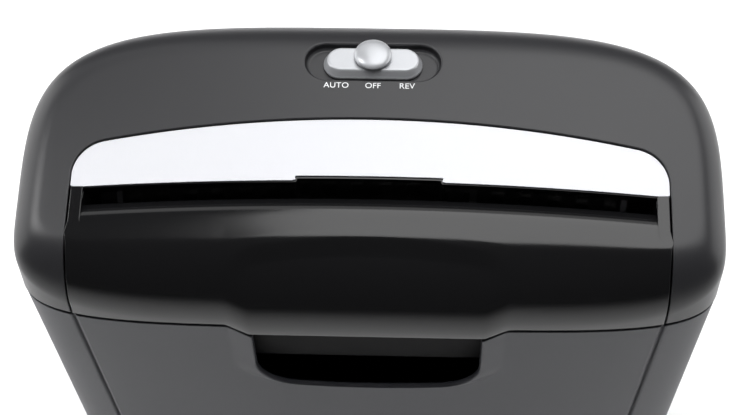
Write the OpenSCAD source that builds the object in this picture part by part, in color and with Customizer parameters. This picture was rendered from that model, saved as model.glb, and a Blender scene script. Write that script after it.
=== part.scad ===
// Desktop paper shredder: a lift-off cutting head that stands on a tapered waste bin.
// Millimetres, +Z up, front towards -Y. Origin: middle of the footprint, on the floor.

/* [Head cover] */
// Widest width of the head
head_w = 306; // [290:1:330]
// Depth of the head in front of the paper slot
head_front = 45.5; // [43:0.5:52]
// Depth of the head behind the paper slot
head_back = 98; // [94:0.5:115]
// Squareness of the front corners, seen from above
front_square = 5; // [4:0.1:6]
// Squareness of the back corners, seen from above
back_square = 3.5; // [3.2:0.1:5]
// Edge radius at the two ends of the head
side_r = 13.6; // [10:0.2:18]
// Edge radius along the back
back_r = 31; // [24:0.5:34]
// Forward slope of the top, in degrees
top_slope = 10.5; // [8:0.5:12]
// Radius of the gentle bow of the top behind the slot
top_bow_r = 610; // [450:10:2000]
// Height of the paper slot's edge above the head's lower edge
head_skirt = 38; // [36:0.5:42]
// Wall of the head's shells
shell_t = 2.4; // [1.8:0.1:3]
// Visible gap between neighbouring shells
shell_seam = 0.5; // [0.3:0.1:0.8]

/* [Label and paper slot] */
// Half width of the front panel, seam to seam
panel_half = 128.5; // [127.5:0.5:130]
// Height of the arch above the slot, seen from above
arch_h = 34.8; // [30:0.2:38]
// Radius of the arch's crown
arch_r = 534; // [450:1:700]
// Radius of the arch's two shoulders
arch_corner_r = 17; // [12:0.5:20]
// Depth of the label field under the cover
label_step = 0.8; // [0.5:0.1:1.2]
// Thickness of the label plate
label_t = 0.8; // [0.5:0.1:1.2]
// Half length of the paper trough
trough_half = 122.5; // [118:0.5:124]
// Width of the paper slot, front to back
slot_w = 5; // [4.8:0.1:6]
// Radius of the trough's rounded front lip
trough_r = 13; // [11:0.5:14]
// Depth of the paper guide walls under the slot's edge
guide_depth = 28; // [24:0.5:30]
// Half width of the card notch
card_half = 31.7; // [29:0.1:36]
// Depth of the card notch behind the slot
card_deep = 3.6; // [2:0.1:5]

/* [Handle pad] */
// Half width of the pad's rim at the front
pad_half = 61; // [55:0.5:66]
// Width of the sloping margin at the pad's sides
pad_margin = 10; // [7:0.5:12]
// Distance from the slot to the pad's upper rim
pad_top = 21.2; // [20:0.1:24]
// Width of the pad's upper step
pad_step = 3.6; // [3:0.1:5]
// Forward shift of the pad's surface
pad_out = 3; // [2:0.1:4]
// Downward shift of the pad's surface
pad_drop = 5.5; // [4.5:0.1:6.5]

/* [Mode slider] */
// Distance of the slider behind the slot
slider_back = 64; // [60:0.5:67]
// Length of the dish
dish_w = 60.2; // [58:0.2:66]
// Width of the dish, front to back
dish_d = 19.7; // [18.5:0.1:21]
// Depth of the dish
dish_h = 3; // [2.6:0.1:3.4]
// Length of the slider plate
plate_w = 44; // [40:0.5:45]
// Width of the slider plate
plate_d = 16; // [15:0.1:16.5]
// Thickness of the slider plate
plate_h = 5; // [4.5:0.1:5.2]
// Diameter of the thumb button
button_d = 16.6; // [15.5:0.1:17]
// Height of the thumb button
button_h = 4.2; // [4:0.1:5]
// Travel of the slider, each way
slide_travel = 7; // [5:0.1:7.5]

/* [Bin] */
// Height of the bin's rim, where the head sits
bin_h = 264; // [240:1:300]
// Wall of the bin
bin_t = 2.4; // [2:0.1:3]
// Taper of the bin's ends, in degrees
bin_taper = 3.2; // [2:0.1:4]
// Taper of the bin's front and back, in degrees
bin_taper_y = 2.6; // [1.5:0.1:3]
// Inset of the bin's outside under the head
bin_inset = 0.4; // [0.3:0.1:1.6]
// Gap between the head's lower edge and the bin's outer rim
bin_gap = 2; // [0.8:0.1:2.4]
// Half width of the hand opening
hand_half = 50; // [46:0.5:54]
// Depth of the hand opening below the rim
hand_deep = 50; // [46:0.5:56]
// Radius of the hand opening's lower corners
hand_r = 17; // [12:0.5:20]
// Width of the flared margin around the hand opening
hand_margin = 10; // [8:0.5:12]
// Height of the margin under the opening
hand_low = 4.5; // [4:0.5:8]
// How far the margin stands out
hand_out = 3; // [2:0.1:4]
// Radius of the bin's lower edge
foot_r = 8; // [5:0.5:12]

/* [Cutter block] */
// Width of one cut strip
strip_w = 6.2; // [5.8:0.1:6.2]
// Room from the outer disc to the head's side, for the gears and their cover
drive_room = 44.3; // [44.1:0.1:46]
// Diameter of a cutting disc
disc_d = 35; // [34:0.2:36]
// How far the discs of the two shafts reach past each other
disc_lap = 4; // [3:0.1:5]
// Side gap between neighbouring discs
disc_gap = 0.3; // [0.2:0.05:0.4]
// Diameter of the spacers between the discs
spacer_d = 24; // [22:0.2:25]
// Width of the shafts across their flats
hex_af = 12; // [11:0.1:13]
// Distance of the cutting nip behind the slot
nip_back = 3; // [2:0.5:4]
// Height of the cutter shafts below the slot's edge
cutter_drop = 52; // [51:0.5:53]
// Diameter of the shafts' journals
journal_d = 10; // [9:0.1:10.5]
// Radial running clearance of journals and pins
run_gap = 0.05; // [0.03:0.01:0.08]
// Thickness of the steel side plates
frame_t = 2.5; // [2:0.1:3]

/* [Gear train] */
// Teeth of the two equal timing gears
sync_teeth = 20; // [18:1:22]
// Teeth of the drive gear on the rear shaft
drive_teeth = 40; // [40:1:40]
// Teeth of the second gear, large and small wheel
second_teeth = [44, 12];
// Teeth of the first gear, large and small wheel
first_teeth = [50, 12];
// Teeth of the motor pinion
pinion_teeth = 10; // [10:1:10]
// Modules of the first, second and third stage
stage_module = [0.8, 1, 1.25];
// Face widths of the first, second and third stage
stage_face = [4, 5, 6.5];
// Axial gap between the stages
stage_gap = 0.8; // [0.6:0.1:0.8]
// Backlash of every mesh
backlash = 0.3; // [0.25:0.05:0.4]
// Diameter of the fixed gear pins
pin_d = 4; // [3.5:0.1:4.5]

/* [Motor] */
// Diameter of the motor can
motor_d = 36; // [34:0.5:37]
// Length of the motor can
motor_len = 57; // [50:0.5:62]
// Wall of the motor can
can_t = 1.2; // [1:0.1:1.5]
// Diameter of the motor shaft
motor_shaft_d = 3.2; // [3:0.1:3.5]

/* [Electrics] */
// Length of the circuit board
board_w = 72; // [60:1:74]
// Width of the circuit board
board_d = 42; // [36:1:44]
// Position of the paper sensor along the slot
sensor_x = 45; // [38:1:60]
// Position of the cord inlet along the back
inlet_x = -62; // [-75:1:-50]
// Bore of the cord inlet
inlet_d = 6.8; // [6:0.1:7.4]

/* [Hidden] */
eps = 0.01;
// Reach of the blocks that cut pieces off
far = 100;
sharp = 24;

// ---- places shared by several pieces
seam_z = bin_h;
slot_z = bin_h + head_skirt;
slot_y = (head_front + pad_out - head_back) / 2;
cutter_z = slot_z - cutter_drop;
shaft_gap = disc_d - disc_lap;
nip_y = slot_y + nip_back;
front_y = nip_y - shaft_gap / 2;
rear_y = nip_y + shaft_gap / 2;
disc_count = floor(((head_w - 2 * drive_room) / strip_w + 1) / 2);
slots = 2 * disc_count - 1;
cut_half = slots * strip_w / 2;
plate_gap = 1;
plate_in = cut_half + plate_gap;
plate_out = plate_in + frame_t;

// ---- the head's outer form: a superellipse plan under a sloping, rolled-over top
head_half_w = head_w / 2;
top_rise = tan(top_slope);
front_r = head_skirt - top_rise * head_front - 0.9;
plan_quarter = 10;
plan_crowd = 1.5;
edge_steps = 6;

function top_z(y) = let (d = y - slot_y)
    slot_z - 0.4 + top_rise * d - (d > 0 ? d * d / (2 * top_bow_r) : 0);
function square_of(s) = s < 0 ? front_square : back_square;
function plan_angle(k) = let (v = 2 * (k % plan_quarter) / plan_quarter - 1)
    90 * floor(k / plan_quarter) + 45 + 45 * sign(v) * pow(abs(v), plan_crowd);
function plan_unit(k) = let (a = plan_angle(k), n = square_of(sin(a)),
    r = pow(pow(abs(cos(a)), n) + pow(abs(sin(a)), n), -1 / n)) [r * cos(a), r * sin(a)];
function edge_r(s) = side_r + ((s < 0 ? front_r : back_r) - side_r) * pow(abs(s), square_of(s));
function depth_of(s) = s < 0 ? head_front : head_back;
// Point of the skin at plan direction u, rolled over by angle a, t below the outside
function head_pt(u, a, t) = let (r = edge_r(u[1]) - t, k = r * (1 - cos(a)),
    x = (head_half_w - t - k) * u[0], y = slot_y + (depth_of(u[1]) - t - k) * u[1])
    [x, y, top_z(y) - t - r * (1 - sin(a))];
function head_ring(a, t) = [for (k = [0:4 * plan_quarter - 1]) head_pt(plan_unit(k), a, t)];
function top_ring(f, t) = let (mid = slot_y + (head_back - head_front) / 2)
    [for (p = head_ring(90, t)) let (y = mid + f * (p[1] - mid)) [f * p[0], y, top_z(y) - t]];
function head_rings(t, low) = concat(
    [[for (p = head_ring(0, t)) [p[0], p[1], low]]],
    [for (j = [0:edge_steps]) head_ring(90 * j / edge_steps, t)],
    [for (f = [0.7, 0.35, 0.02]) top_ring(f, t)]);

// Plan of the bin and the housing at height z: d inside the head's outline
function bin_ring(z, d) = let (drop = seam_z - z,
    w = head_half_w - d - drop * tan(bin_taper), f = head_front - d - drop * tan(bin_taper_y),
    b = head_back - d - drop * tan(bin_taper_y))
    [for (k = [0:4 * plan_quarter - 1]) let (u = plan_unit(k))
        [w * u[0], slot_y + (u[1] < 0 ? f : b) * u[1], z]];

// ---- helpers
// Solid through a stack of rings, lowest first, each counter-clockwise from above
module loft(rings) {
    n = len(rings[0]);
    m = len(rings);
    polyhedron(points = [for (r = rings) each r], convexity = 6, faces = concat(
        [[for (i = [0:n - 1]) i]],
        [[for (i = [n - 1:-1:0]) (m - 1) * n + i]],
        [for (j = [0:m - 2], i = [0:n - 1]) let (a = j * n + i, b = j * n + (i + 1) % n)
            each [[a, a + n, b + n], [a, b + n, b]]]));
}
module head_solid(t, low = seam_z) loft(head_rings(t, low));
module skin(outer, inner) difference() {
    head_solid(outer);
    head_solid(inner, seam_z - 1);
}
// Extrusion along X of a plan drawn as (y, z)
module along_x(from, to) translate([from, 0, 0]) rotate([90, 0, 90]) linear_extrude(to - from) children();
module upright(z0 = seam_z - 20, z1 = slot_z + 40) translate([0, 0, z0]) linear_extrude(z1 - z0) children();
// Block with rounded upright edges, centred in x and y
module block(w, d, h, r) linear_extrude(h) rounded(w, d, r);
module rounded(w, d, r) {
    square([w - 2 * r, d], center = true);
    square([w, d - 2 * r], center = true);
    for (i = [-1, 1], j = [-1, 1]) translate([i * (w / 2 - r), j * (d / 2 - r)]) circle(r);
}
module rod_x(from, to, at, r) translate([from, at[0], at[1]]) rotate([0, 90, 0]) cylinder(h = to - from, r = r);
module hex_x(from, to, at, af) along_x(from, to) translate(at) circle(r = af / sqrt(3), $fn = 6);

// ---- plan of the front panel: straight sides, arched back, rounded shoulders
arch_mid = slot_y + arch_h - arch_r;
shoulder_x = panel_half - arch_corner_r;
shoulder_y = arch_mid + sqrt(pow(arch_r - arch_corner_r, 2) - shoulder_x * shoulder_x);
shoulder_end = atan2(shoulder_y - arch_mid, shoulder_x);
function half_arch(g) = concat(
    [for (j = [0:4]) let (a = shoulder_end * j / 4)
        [shoulder_x + (arch_corner_r + g) * cos(a), shoulder_y + (arch_corner_r + g) * sin(a)]],
    [for (j = [1:4]) let (a = shoulder_end + (90 - shoulder_end) * j / 4)
        [(arch_r + g) * cos(a), arch_mid + (arch_r + g) * sin(a)]]);
module panel_plan(g, front = slot_y - head_front - 20) {
    right = half_arch(g);
    left = [for (i = [len(right) - 2:-1:0]) [-right[i][0], right[i][1]]];
    polygon(concat([[panel_half + g, front]], right, left, [[-panel_half - g, front]]));
}

// ---- section of the trough and the paper guide, as (y, z) from the slot's upper edge
guide_t = 2;
crest_y = front_r - head_front;
crest_z = top_rise * crest_y - 0.4;
lip_mid = [crest_y + trough_r * sin(top_slope), crest_z - trough_r * cos(top_slope) - 0.06];
mouth_z = lip_mid[1] + sqrt(trough_r * trough_r - pow(slot_w + lip_mid[0], 2));
guide_low = -guide_depth;
function guide_side(top, low, t, deep) = [[top, mouth_z], [top + t, mouth_z], [low + t, deep], [low, deep]];
module trough_hollow() {
    difference() {
        translate([crest_y + 0.3, mouth_z - 4]) square([-crest_y - 0.3, 40]);
        translate(lip_mid) circle(trough_r, $fn = 64);
        translate([-slot_w - 30, mouth_z - 10]) square([30, 9.9]);
    }
    polygon([[-slot_w, mouth_z], [0, mouth_z], [nip_back + slot_w / 2, guide_low - 1],
        [-slot_w, guide_low - 1]]);
    translate([-slot_w, mouth_z - 0.2]) square([slot_w, 30]);
}
module trough_walls() {
    difference() {
        translate(lip_mid) circle(trough_r, $fn = 64);
        translate(lip_mid) circle(trough_r - shell_t - 0.5, $fn = 64);
        translate([crest_y - 1.5 - far, -far]) square([far, 2 * far]);
        translate([-slot_w, -far]) square([far, 2 * far]);
        translate([crest_y - 5, -far]) square([far, far + lip_mid[1]]);
    }
    polygon(guide_side(-slot_w - guide_t, -slot_w - guide_t, guide_t, guide_low));
    polygon(guide_side(0, nip_back + slot_w / 2, guide_t, guide_low));
    translate([0, mouth_z - 0.4]) square([guide_t, -label_step - label_t - 1.2 - mouth_z]);
}
module at_slot(half) translate([0, slot_y, slot_z]) along_x(-half, half) children();

// ---- the handle pad: the roll's skin, shifted down and forward inside a rounded outline
pad_r = 13;
pad_bow = 0.0016;
function front_unit(c) = [c, -pow(1 - pow(abs(c), front_square), 1 / front_square)];
function roll_unit(x, a, t) = let (u = front_unit(x / (head_half_w - t)),
    k = (edge_r(u[1]) - t) * (1 - cos(a))) front_unit(x / (head_half_w - t - k));
function roll_pt(x, a, t) = head_pt(roll_unit(x, a, t), a, t);
function pad_rim(x) = let (y = pad_top + pad_bow * x * x)
    front_r * PI / 180 * acos(1 - (head_front - y) / front_r);
function pad_weight(x, v) = let (dx = max(abs(x) - pad_half + pad_r, 0), dv = max(v - pad_rim(x) + pad_r, 0),
    rho = norm([dx, dv]), m = rho == 0 ? 1 : (pad_margin * dx * dx + pad_step * dv * dv) / (rho * rho))
    min(max((pad_r - rho) / m, 0), 1);
pad_xs = [for (f = [0, 0.22, 0.44, 0.62, 0.72, 0.79, 0.84, 0.88, 0.92, 0.955, 0.982, 1.018]) f * pad_half];
pad_cols = concat([for (i = [len(pad_xs) - 1:-1:1]) -pad_xs[i]], pad_xs);
pad_rows = [0, 0.16, 0.32, 0.48, 0.6, 0.7, 0.78, 0.84, 0.88, 0.92, 0.95, 0.975, 1.03];
function pad_pt(x, f, t) = let (v = f * pad_rim(x), w = pad_weight(x, v),
    p = roll_pt(x, v / front_r * 180 / PI, t))
    p + w * [0, -pad_out, -pad_drop];
pad_dive = 1.2;
// Points of one column of the pad, t below the skin; its outermost points dive under the skin around it
function pad_column(x, t, dive) = let (edge = abs(x) > pad_half, d = edge ? dive : 0) concat(
    [let (p = pad_pt(x, 0, t + d)) [p[0], p[1], seam_z - pad_drop * pad_weight(x, 0)]],
    [for (f = pad_rows) pad_pt(x, f, t + (f > 1 ? dive : d))]);
module pad_patch() {
    nx = len(pad_cols);
    nv = len(pad_rows) + 1;
    outer = [for (x = pad_cols) each pad_column(x, 0, pad_dive)];
    inner = [for (x = pad_cols) each pad_column(x, shell_t, -pad_dive)];
    n = nx * nv;
    function cell(a, b, c, d) = [[a, b, c], [a, c, d]];
    polyhedron(points = concat(outer, inner), convexity = 6, faces = concat(
        [for (i = [0:nx - 2], j = [0:nv - 2]) let (a = i * nv + j)
            each concat(cell(a, a + 1, a + nv + 1, a + nv),
                cell(n + a, n + a + nv, n + a + nv + 1, n + a + 1))],
        [for (i = [0:nx - 2]) let (a = i * nv)
            each concat(cell(a, a + nv, n + a + nv, n + a),
                cell(a + nv - 1, n + a + nv - 1, n + a + 2 * nv - 1, a + 2 * nv - 1))],
        [for (j = [0:nv - 2]) let (b = (nx - 1) * nv + j)
            each concat(cell(j, n + j, n + j + 1, j + 1), cell(b, b + 1, n + b + 1, n + b))]));
}
module pad_area() translate([0, slot_y]) polygon(concat(
    [[pad_half, -head_front - 20]],
    [for (i = [8:-1:-8]) let (x = pad_half * i / 8) [x, -pad_top - pad_bow * x * x]],
    [[-pad_half, -head_front - 20]]));

// ---- bin
lip_h = 2;
lip_z = seam_z + lip_h;
lip_out = shell_t + 0.4;
lip_in = lip_out + 2;
bin_top = seam_z - bin_gap;
bin_in = bin_inset + bin_t;
hand_z = bin_h - hand_deep;
function foot_rings(d, r, floor) = [for (j = [0:3]) let (a = 90 * j / 3)
    bin_ring(floor + r * (1 - cos(a)), d + r * (1 - sin(a)))];
function bin_front(x, z, d) = let (drop = seam_z - z,
    u = front_unit(x / (head_half_w - d - drop * tan(bin_taper))))
    [x, slot_y + (head_front - d - drop * tan(bin_taper_y)) * u[1], z];
// How far a point of the front lies outside the hand opening, as a share of its margin
function hand_weight(x, z) = let (dx = max(abs(x) - hand_half + hand_r, 0), dz = max(hand_z + hand_r - z, 0),
    rho = norm([dx, dz]), m = rho == 0 ? 1 : (hand_margin * dx * dx + hand_low * dz * dz) / (rho * rho))
    min(max(1 - (rho - hand_r) / m, 0), 1);
hand_edge = hand_half + hand_margin;
margin_xs = [for (f = [0, 0.25, 0.45, 0.58, 0.68, 0.76, 0.84, 0.92, 1.005]) f * hand_edge];
margin_cols = concat([for (i = [len(margin_xs) - 1:-1:1]) -margin_xs[i]], margin_xs);
margin_low = hand_z - hand_low - 0.3;
margin_rows = [for (f = [0, 0.06, 0.12, 0.19, 0.26, 0.34, 0.44, 0.6, 0.8, 1])
    margin_low + f * (bin_top - margin_low)];
function margin_pt(x, z, d) = bin_front(x, z, d) - [0, hand_out * hand_weight(x, z), 0];
module hand_patch() {
    nx = len(margin_cols);
    nz = len(margin_rows);
    n = nx * nz;
    function cell(a, b, c, d) = [[a, b, c], [a, c, d]];
    polyhedron(points = concat([for (x = margin_cols, z = margin_rows) margin_pt(x, z, bin_inset)],
                               [for (x = margin_cols, z = margin_rows) margin_pt(x, z, bin_in)]),
        convexity = 6, faces = concat(
        [for (i = [0:nx - 2], j = [0:nz - 2]) let (a = i * nz + j)
            each concat(cell(a, a + 1, a + nz + 1, a + nz),
                cell(n + a, n + a + nz, n + a + nz + 1, n + a + 1))],
        [for (i = [0:nx - 2]) let (a = i * nz, b = a + nz - 1)
            each concat(cell(a, a + nz, n + a + nz, n + a), cell(b, n + b, n + b + nz, b + nz))],
        [for (j = [0:nz - 2]) let (b = (nx - 1) * nz + j)
            each concat(cell(j, n + j, n + j + 1, j + 1), cell(b, b + 1, n + b + 1, n + b))]));
}
module hand_outline(g) translate([0, hand_z]) {
    translate([-hand_half - g, hand_r]) square([2 * (hand_half + g), bin_h]);
    translate([-hand_half + hand_r, -g]) square([2 * (hand_half - hand_r), bin_h]);
    for (i = [-1, 1]) translate([i * (hand_half - hand_r), hand_r]) circle(hand_r + g, $fn = 40);
}
module through_front() translate([0, slot_y - head_front * 0.6, 0])
    rotate([90, 0, 0]) linear_extrude(far) children();
groove_r = 0.7;
groove_steps = 6;
groove_step = (bin_top - foot_r) / groove_steps;
function groove_pt(i, j) = bin_front(i * (panel_half - 1 - groove_step * j * tan(bin_taper)),
    bin_top + 1 - groove_step * j, bin_inset);
tab_w = 12;
tab_y = slot_y - 6;
tab_top = lip_z + 8;
module interlock_tab(g, low, high) {
    x = -head_half_w + (lip_out + lip_in) / 2;
    translate([x - 1 - g, tab_y - tab_w / 2 - g, low]) cube([2 + 2 * g, tab_w + 2 * g, high - low]);
}
module bin() color([0.2, 0.2, 0.215]) {
    difference() {
        union() {
            difference() {
                union() {
                    loft(concat(foot_rings(bin_inset, foot_r, 0), [bin_ring(bin_top, bin_inset)]));
                    loft([bin_ring(seam_z - 8, bin_in - 0.4), bin_ring(lip_z, lip_out)]);
                }
                loft(concat(foot_rings(bin_in, foot_r - bin_t, bin_t),
                    [bin_ring(seam_z - 8, bin_in), bin_ring(seam_z - 5, lip_in), bin_ring(lip_z + 1, lip_in)]));
                translate([-hand_edge, slot_y - head_front - 5, margin_low + 0.3])
                    cube([2 * hand_edge, 12, bin_h]);
            }
            hand_patch();
        }
        through_front() hand_outline(0);
        through_front() polygon(concat([[pad_half + 1, seam_z + 20]],
            [for (i = [8:-1:-8]) let (x = (pad_half + 0.8) * i / 8)
                [x, bin_top + 0.05 - pad_drop * pad_weight(abs(x) - 0.8, 0)]],
            [[-pad_half - 1, seam_z + 20]]));
        for (i = [-1, 1], j = [0:groove_steps - 1]) hull() {
            translate(groove_pt(i, j)) sphere(groove_r, $fn = 8);
            translate(groove_pt(i, j + 1)) sphere(groove_r, $fn = 8);
        }
        loft([bin_ring(-1, 16), bin_ring(1, 16)]);
    }
    interlock_tab(0, lip_z - 2, tab_top);
}

// ---- head: cover, front panel, label plate
dish_z = top_z(slot_y + slider_back - dish_d / 2) - dish_h;
slider_y = slot_y + slider_back;
stem_w = 6;
stem_d = 5;
post_r = 4.5;
side_post = [head_half_w - 12.6, slot_y + 16];
back_post = [90, slot_y + head_back - 20];
post_spots = [[side_post[0], side_post[1]], [-side_post[0], side_post[1]],
              [back_post[0], back_post[1]], [-back_post[0], back_post[1]]];
switch_ear = 17;
inlet_y = slot_y + head_back * pow(1 - pow(abs(inlet_x) / head_half_w, back_square), 1 / back_square);
inlet_r = inlet_d / 2 + 1.6;
inlet_z = lip_z + lip_h + inlet_r + 2.6;
module dish_plan(g) hull() for (i = [-1, 1]) translate([i * (dish_w - dish_d) / 2, 0]) circle(dish_d / 2 + g);
module stem_plan(g) square([stem_w + 2 * (slide_travel + g), stem_d + 2 * g], center = true);
module post_to(z) translate([0, 0, z]) cylinder(h = 60, r = post_r);
module top_cover() color([0.24, 0.24, 0.25]) difference() {
    union() {
        difference() {
            skin(0, shell_t);
            upright() panel_plan(0);
            translate([0, slider_y, slot_z]) linear_extrude(60) dish_plan(0, $fn = sharp);
        }
        intersection() {
            head_solid(eps);
            union() {
                translate([0, slider_y, dish_z - shell_t]) difference() {
                    linear_extrude(30) dish_plan(shell_t, $fn = sharp);
                    translate([0, 0, shell_t]) linear_extrude(30) dish_plan(0, $fn = sharp);
                }
                for (p = post_spots) translate(p) post_to(lip_z + lip_h + 0.5, $fn = 16);
                for (i = [-1, 1]) translate([i * switch_ear, slider_y, mode_top + eps])
                    cylinder(h = dish_z - mode_top - 1, r = 3, $fn = 16);
                for (i = [-1, 1]) translate([-head_half_w + 10, tab_y + i * 7, interlock_z + 10 + 0.3])
                    cylinder(h = 30, r = 2, $fn = 12);
                // stiffening webs across the back
                for (i = [-4:4]) translate([i * 24, slot_y + head_back - 18, slot_z - 12]) hull() {
                    translate([-0.8, 0, 12]) cube([1.6, 12, 10]);
                    translate([-0.8, 13, -14]) cube([1.6, 4, 20]);
                }
            }
        }
    }
    translate([0, slider_y, dish_z - 10]) linear_extrude(20) stem_plan(0.4);
    translate([inlet_x, inlet_y, inlet_z]) rotate([90, 0, 0])
        cylinder(h = 30, r = inlet_r + 0.1, center = true, $fn = 32);
    for (p = post_spots) translate([p[0], p[1], seam_z]) cylinder(h = 14 + lip_h + 3, r = 1.9, $fn = 16);
    for (i = [-1, 1]) translate([i * switch_ear, slider_y, mode_top - 1]) cylinder(h = 8, r = 1.2, $fn = 12);
}

label_low = label_step + label_t;
clip_in = shell_t + 0.3;
card_ledge = 0.7;
module label_area(g, front) intersection() {
    panel_plan(g);
    translate([-head_w, slot_y + front]) square([2 * head_w, arch_h + 20]);
}
module sensor_window() translate([sensor_x - 2.2, slot_y - slot_w + 1, slot_z + guide_low - 1])
    cube([4.4, nip_back + slot_w + 8, guide_depth - 15]);
module front_panel() color([0.07, 0.07, 0.075]) difference() {
    union() {
        difference() {
            union() {
                difference() {
                    intersection() {
                        skin(0, shell_t);
                        upright() difference() {
                            panel_plan(-shell_seam);
                            translate([-head_w, slot_y]) square([2 * head_w, head_back]);
                        }
                    }
                    upright() pad_area();
                }
                pad_patch();
                // field under the label plate
                intersection() {
                    skin(label_low, label_low + shell_t);
                    upright() intersection() {
                        panel_plan(-shell_seam);
                        translate([-head_w, slot_y - 1.5]) square([2 * head_w, head_back]);
                    }
                }
                // edge that tucks under the cover's arch
                intersection() {
                    skin(clip_in, label_low + shell_t - 0.3);
                    upright() difference() {
                        panel_plan(4);
                        panel_plan(-3);
                        translate([-head_w, slot_y - head_front - 40]) square([2 * head_w, head_front + 40]);
                    }
                }
            }
            at_slot(trough_half) trough_hollow();
        }
        at_slot(trough_half + 0.5) trough_walls();
        intersection() {
            head_solid(label_low);
            for (i = [-1, 1]) translate([i * (trough_half + guide_t / 2), 0, 0])
                at_slot(guide_t / 2) translate([crest_y - 2, guide_low])
                    square([nip_back + slot_w / 2 + guide_t + 2 - crest_y, guide_depth + 10]);
        }
        // webs between the roll and the guide's front wall, and under the label field
        intersection() {
            head_solid(shell_t / 2);
            union() {
                for (i = [-1, 1], j = [0:3])
                    translate([i * (pad_half + 9 + 14 * j) - 0.8, slot_y, slot_z]) hull() {
                    translate([0, -slot_w - guide_t - 1.5, guide_low + 4]) cube([1.6, 2, guide_depth - 12]);
                    translate([0, -head_front + 14, guide_low + 8]) cube([1.6, 2, guide_depth]);
                }
            }
        }
        intersection() {
            head_solid(label_low + shell_t / 2);
            for (d = [8.5, 18.5]) translate([sensor_x, sensor_y + d, sensor_z + 14.3])
                cylinder(h = 30, r = 2.2, $fn = 12);
        }
    }
    translate([0, slot_y, slot_z]) along_x(card_ledge - card_half, card_half - card_ledge)
        polygon([[-1, 10], [card_deep - card_ledge, 10], [card_deep - card_ledge, mouth_z],
            [nip_back + slot_w / 2, guide_low - 1], [nip_back, guide_low - 1], [-1, mouth_z]]);
    sensor_window();
}
module label_plate() color([0.86, 0.87, 0.89]) intersection() {
    skin(label_step, label_low);
    upright() difference() {
        label_area(-shell_seam - 0.1, 0.3);
        translate([-card_half, slot_y - 1]) square([2 * card_half, card_deep + 1]);
    }
}

// ---- base housing: the tray that closes the head from below and hangs into the bin
tray_t = 2.2;
tray_out = lip_in + 0.8;
rod_r = 3;
rod_out = [14, 16];
strip_arm = rod_r + 1.8;
tray_z = cutter_z - rod_out[1] - strip_arm - 0.4 - tray_t;
well_z = tray_z - 22;
well_front = slot_y + 21;
well_back = slot_y + head_back - 24;
well_left = -108;
well_right = plate_out + 6.2;
sump_front = front_y + 0.5;
sump_back = slot_y + 48;
sump_right = plate_out + 25;
column_low = seam_z - 12;
// Screw column with a web out to the tray's wall
module column_plan(p) {
    circle(post_r + 0.8, $fn = sharp);
    rotate(abs(p[0]) > panel_half ? (p[0] > 0 ? 0 : 180) : 90) translate([0, -2]) square([20, 4]);
}
module spread_plan(x0, x1, y0, y1, r, g) translate([(x0 + x1) / 2, (y0 + y1) / 2])
    rounded(x1 - x0 + 2 * g, y1 - y0 + 2 * g, r + g, $fn = sharp);
// Well for motor and circuit board, and the sump under the gears
module well_plan(g) {
    spread_plan(well_left, well_right, well_front, well_back, 12, g);
    spread_plan(plate_in, sump_right, sump_front, sump_back, 5, g);
}
module base_housing() color([0.1, 0.1, 0.105]) {
    difference() {
        union() {
            loft([bin_ring(tray_z, tray_out), bin_ring(lip_z + eps, tray_out)]);
            loft([bin_ring(lip_z, lip_out), bin_ring(lip_z + tray_t, lip_out + 0.9)]);
            translate([0, 0, well_z]) linear_extrude(tray_z - well_z + 5) well_plan(tray_t);
        }
        difference() {
            loft([bin_ring(tray_z + tray_t, tray_out + tray_t),
                bin_ring(lip_z + tray_t + 1, tray_out + tray_t)]);
            for (p = post_spots) translate([p[0], p[1], column_low]) linear_extrude(50) column_plan(p);
        }
        translate([0, 0, well_z + tray_t]) linear_extrude(60) well_plan(0);
        translate([0, 0, lip_z + lip_h + 0.4]) linear_extrude(10) square(2 * head_w, center = true);
        // outlet for the strips
        translate([1.8 - cut_half, front_y - 12, tray_z - 5])
            cube([2 * cut_half - 3.6, well_front - front_y + 11 - tray_t, 6 + tray_t]);
        for (p = post_spots) translate([p[0], p[1], 0]) {
            cylinder(h = column_low - 0.01, r = post_r + 0.8, $fn = sharp);
            cylinder(h = bin_h * 2, r = 1.9, $fn = 16);
        }
        interlock_tab(0.4, tray_z, tab_top + 5);
    }
    intersection() {
        loft([bin_ring(tray_z, tray_out + tray_t / 2), bin_ring(lip_z, tray_out + tray_t / 2)]);
        union() {
            // stiffening webs of the front and back walls, under the flange
            for (i = [-4:4]) translate([i * 26 - 0.8, 0, 0]) hull() {
                translate([0, well_back + 4, lip_z - 16]) cube([1.6, 20, 15]);
                translate([0, well_back + 10, tray_z + 1]) cube([1.6, 12, 4]);
            }
        }
    }
    for (x = [board_x - board_w / 2 + 4, board_x + board_w / 2 - 4], y = [-1, 1])
        translate([x, board_y + y * (board_d / 2 - 4), well_z + tray_t - eps])
            cylinder(h = board_z - well_z - tray_t + eps, r = 2.5, $fn = 16);
}

// ---- cutter block
function rods_of(axis_y, side) = [for (k = [1, -1]) [axis_y + side * rod_out[0], cutter_z + k * rod_out[1]]];
front_rods = rods_of(front_y, -1);
rear_rods = rods_of(rear_y, 1);
all_rods = concat(front_rods, rear_rods);
bush_r = journal_d / 2 + 2;
bush_flange = 1.2;
front_axis = [front_y, cutter_z];
rear_axis = [rear_y, cutter_z];
stage1 = (pinion_teeth + first_teeth[0]) * stage_module[0] / 2;
stage2 = (first_teeth[1] + second_teeth[0]) * stage_module[1] / 2;
stage3 = (second_teeth[1] + drive_teeth) * stage_module[2] / 2;
line3 = 50;
line2 = -65;
line1 = -80;
function step_to(p, r, a) = [p[0] + r * cos(a), p[1] + r * sin(a)];
second_axis = step_to(rear_axis, stage3, line3);
first_axis = step_to(second_axis, stage2, line2);
motor_axis = step_to(first_axis, stage1, line1);
x1 = plate_out + bush_flange + 0.4;
x2 = x1 + stage_face[0] + stage_gap;
x3 = x2 + stage_face[1] + stage_gap;
cover_in = x3 + stage_face[2] + stage_gap;
cover_t = 2;
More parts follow.
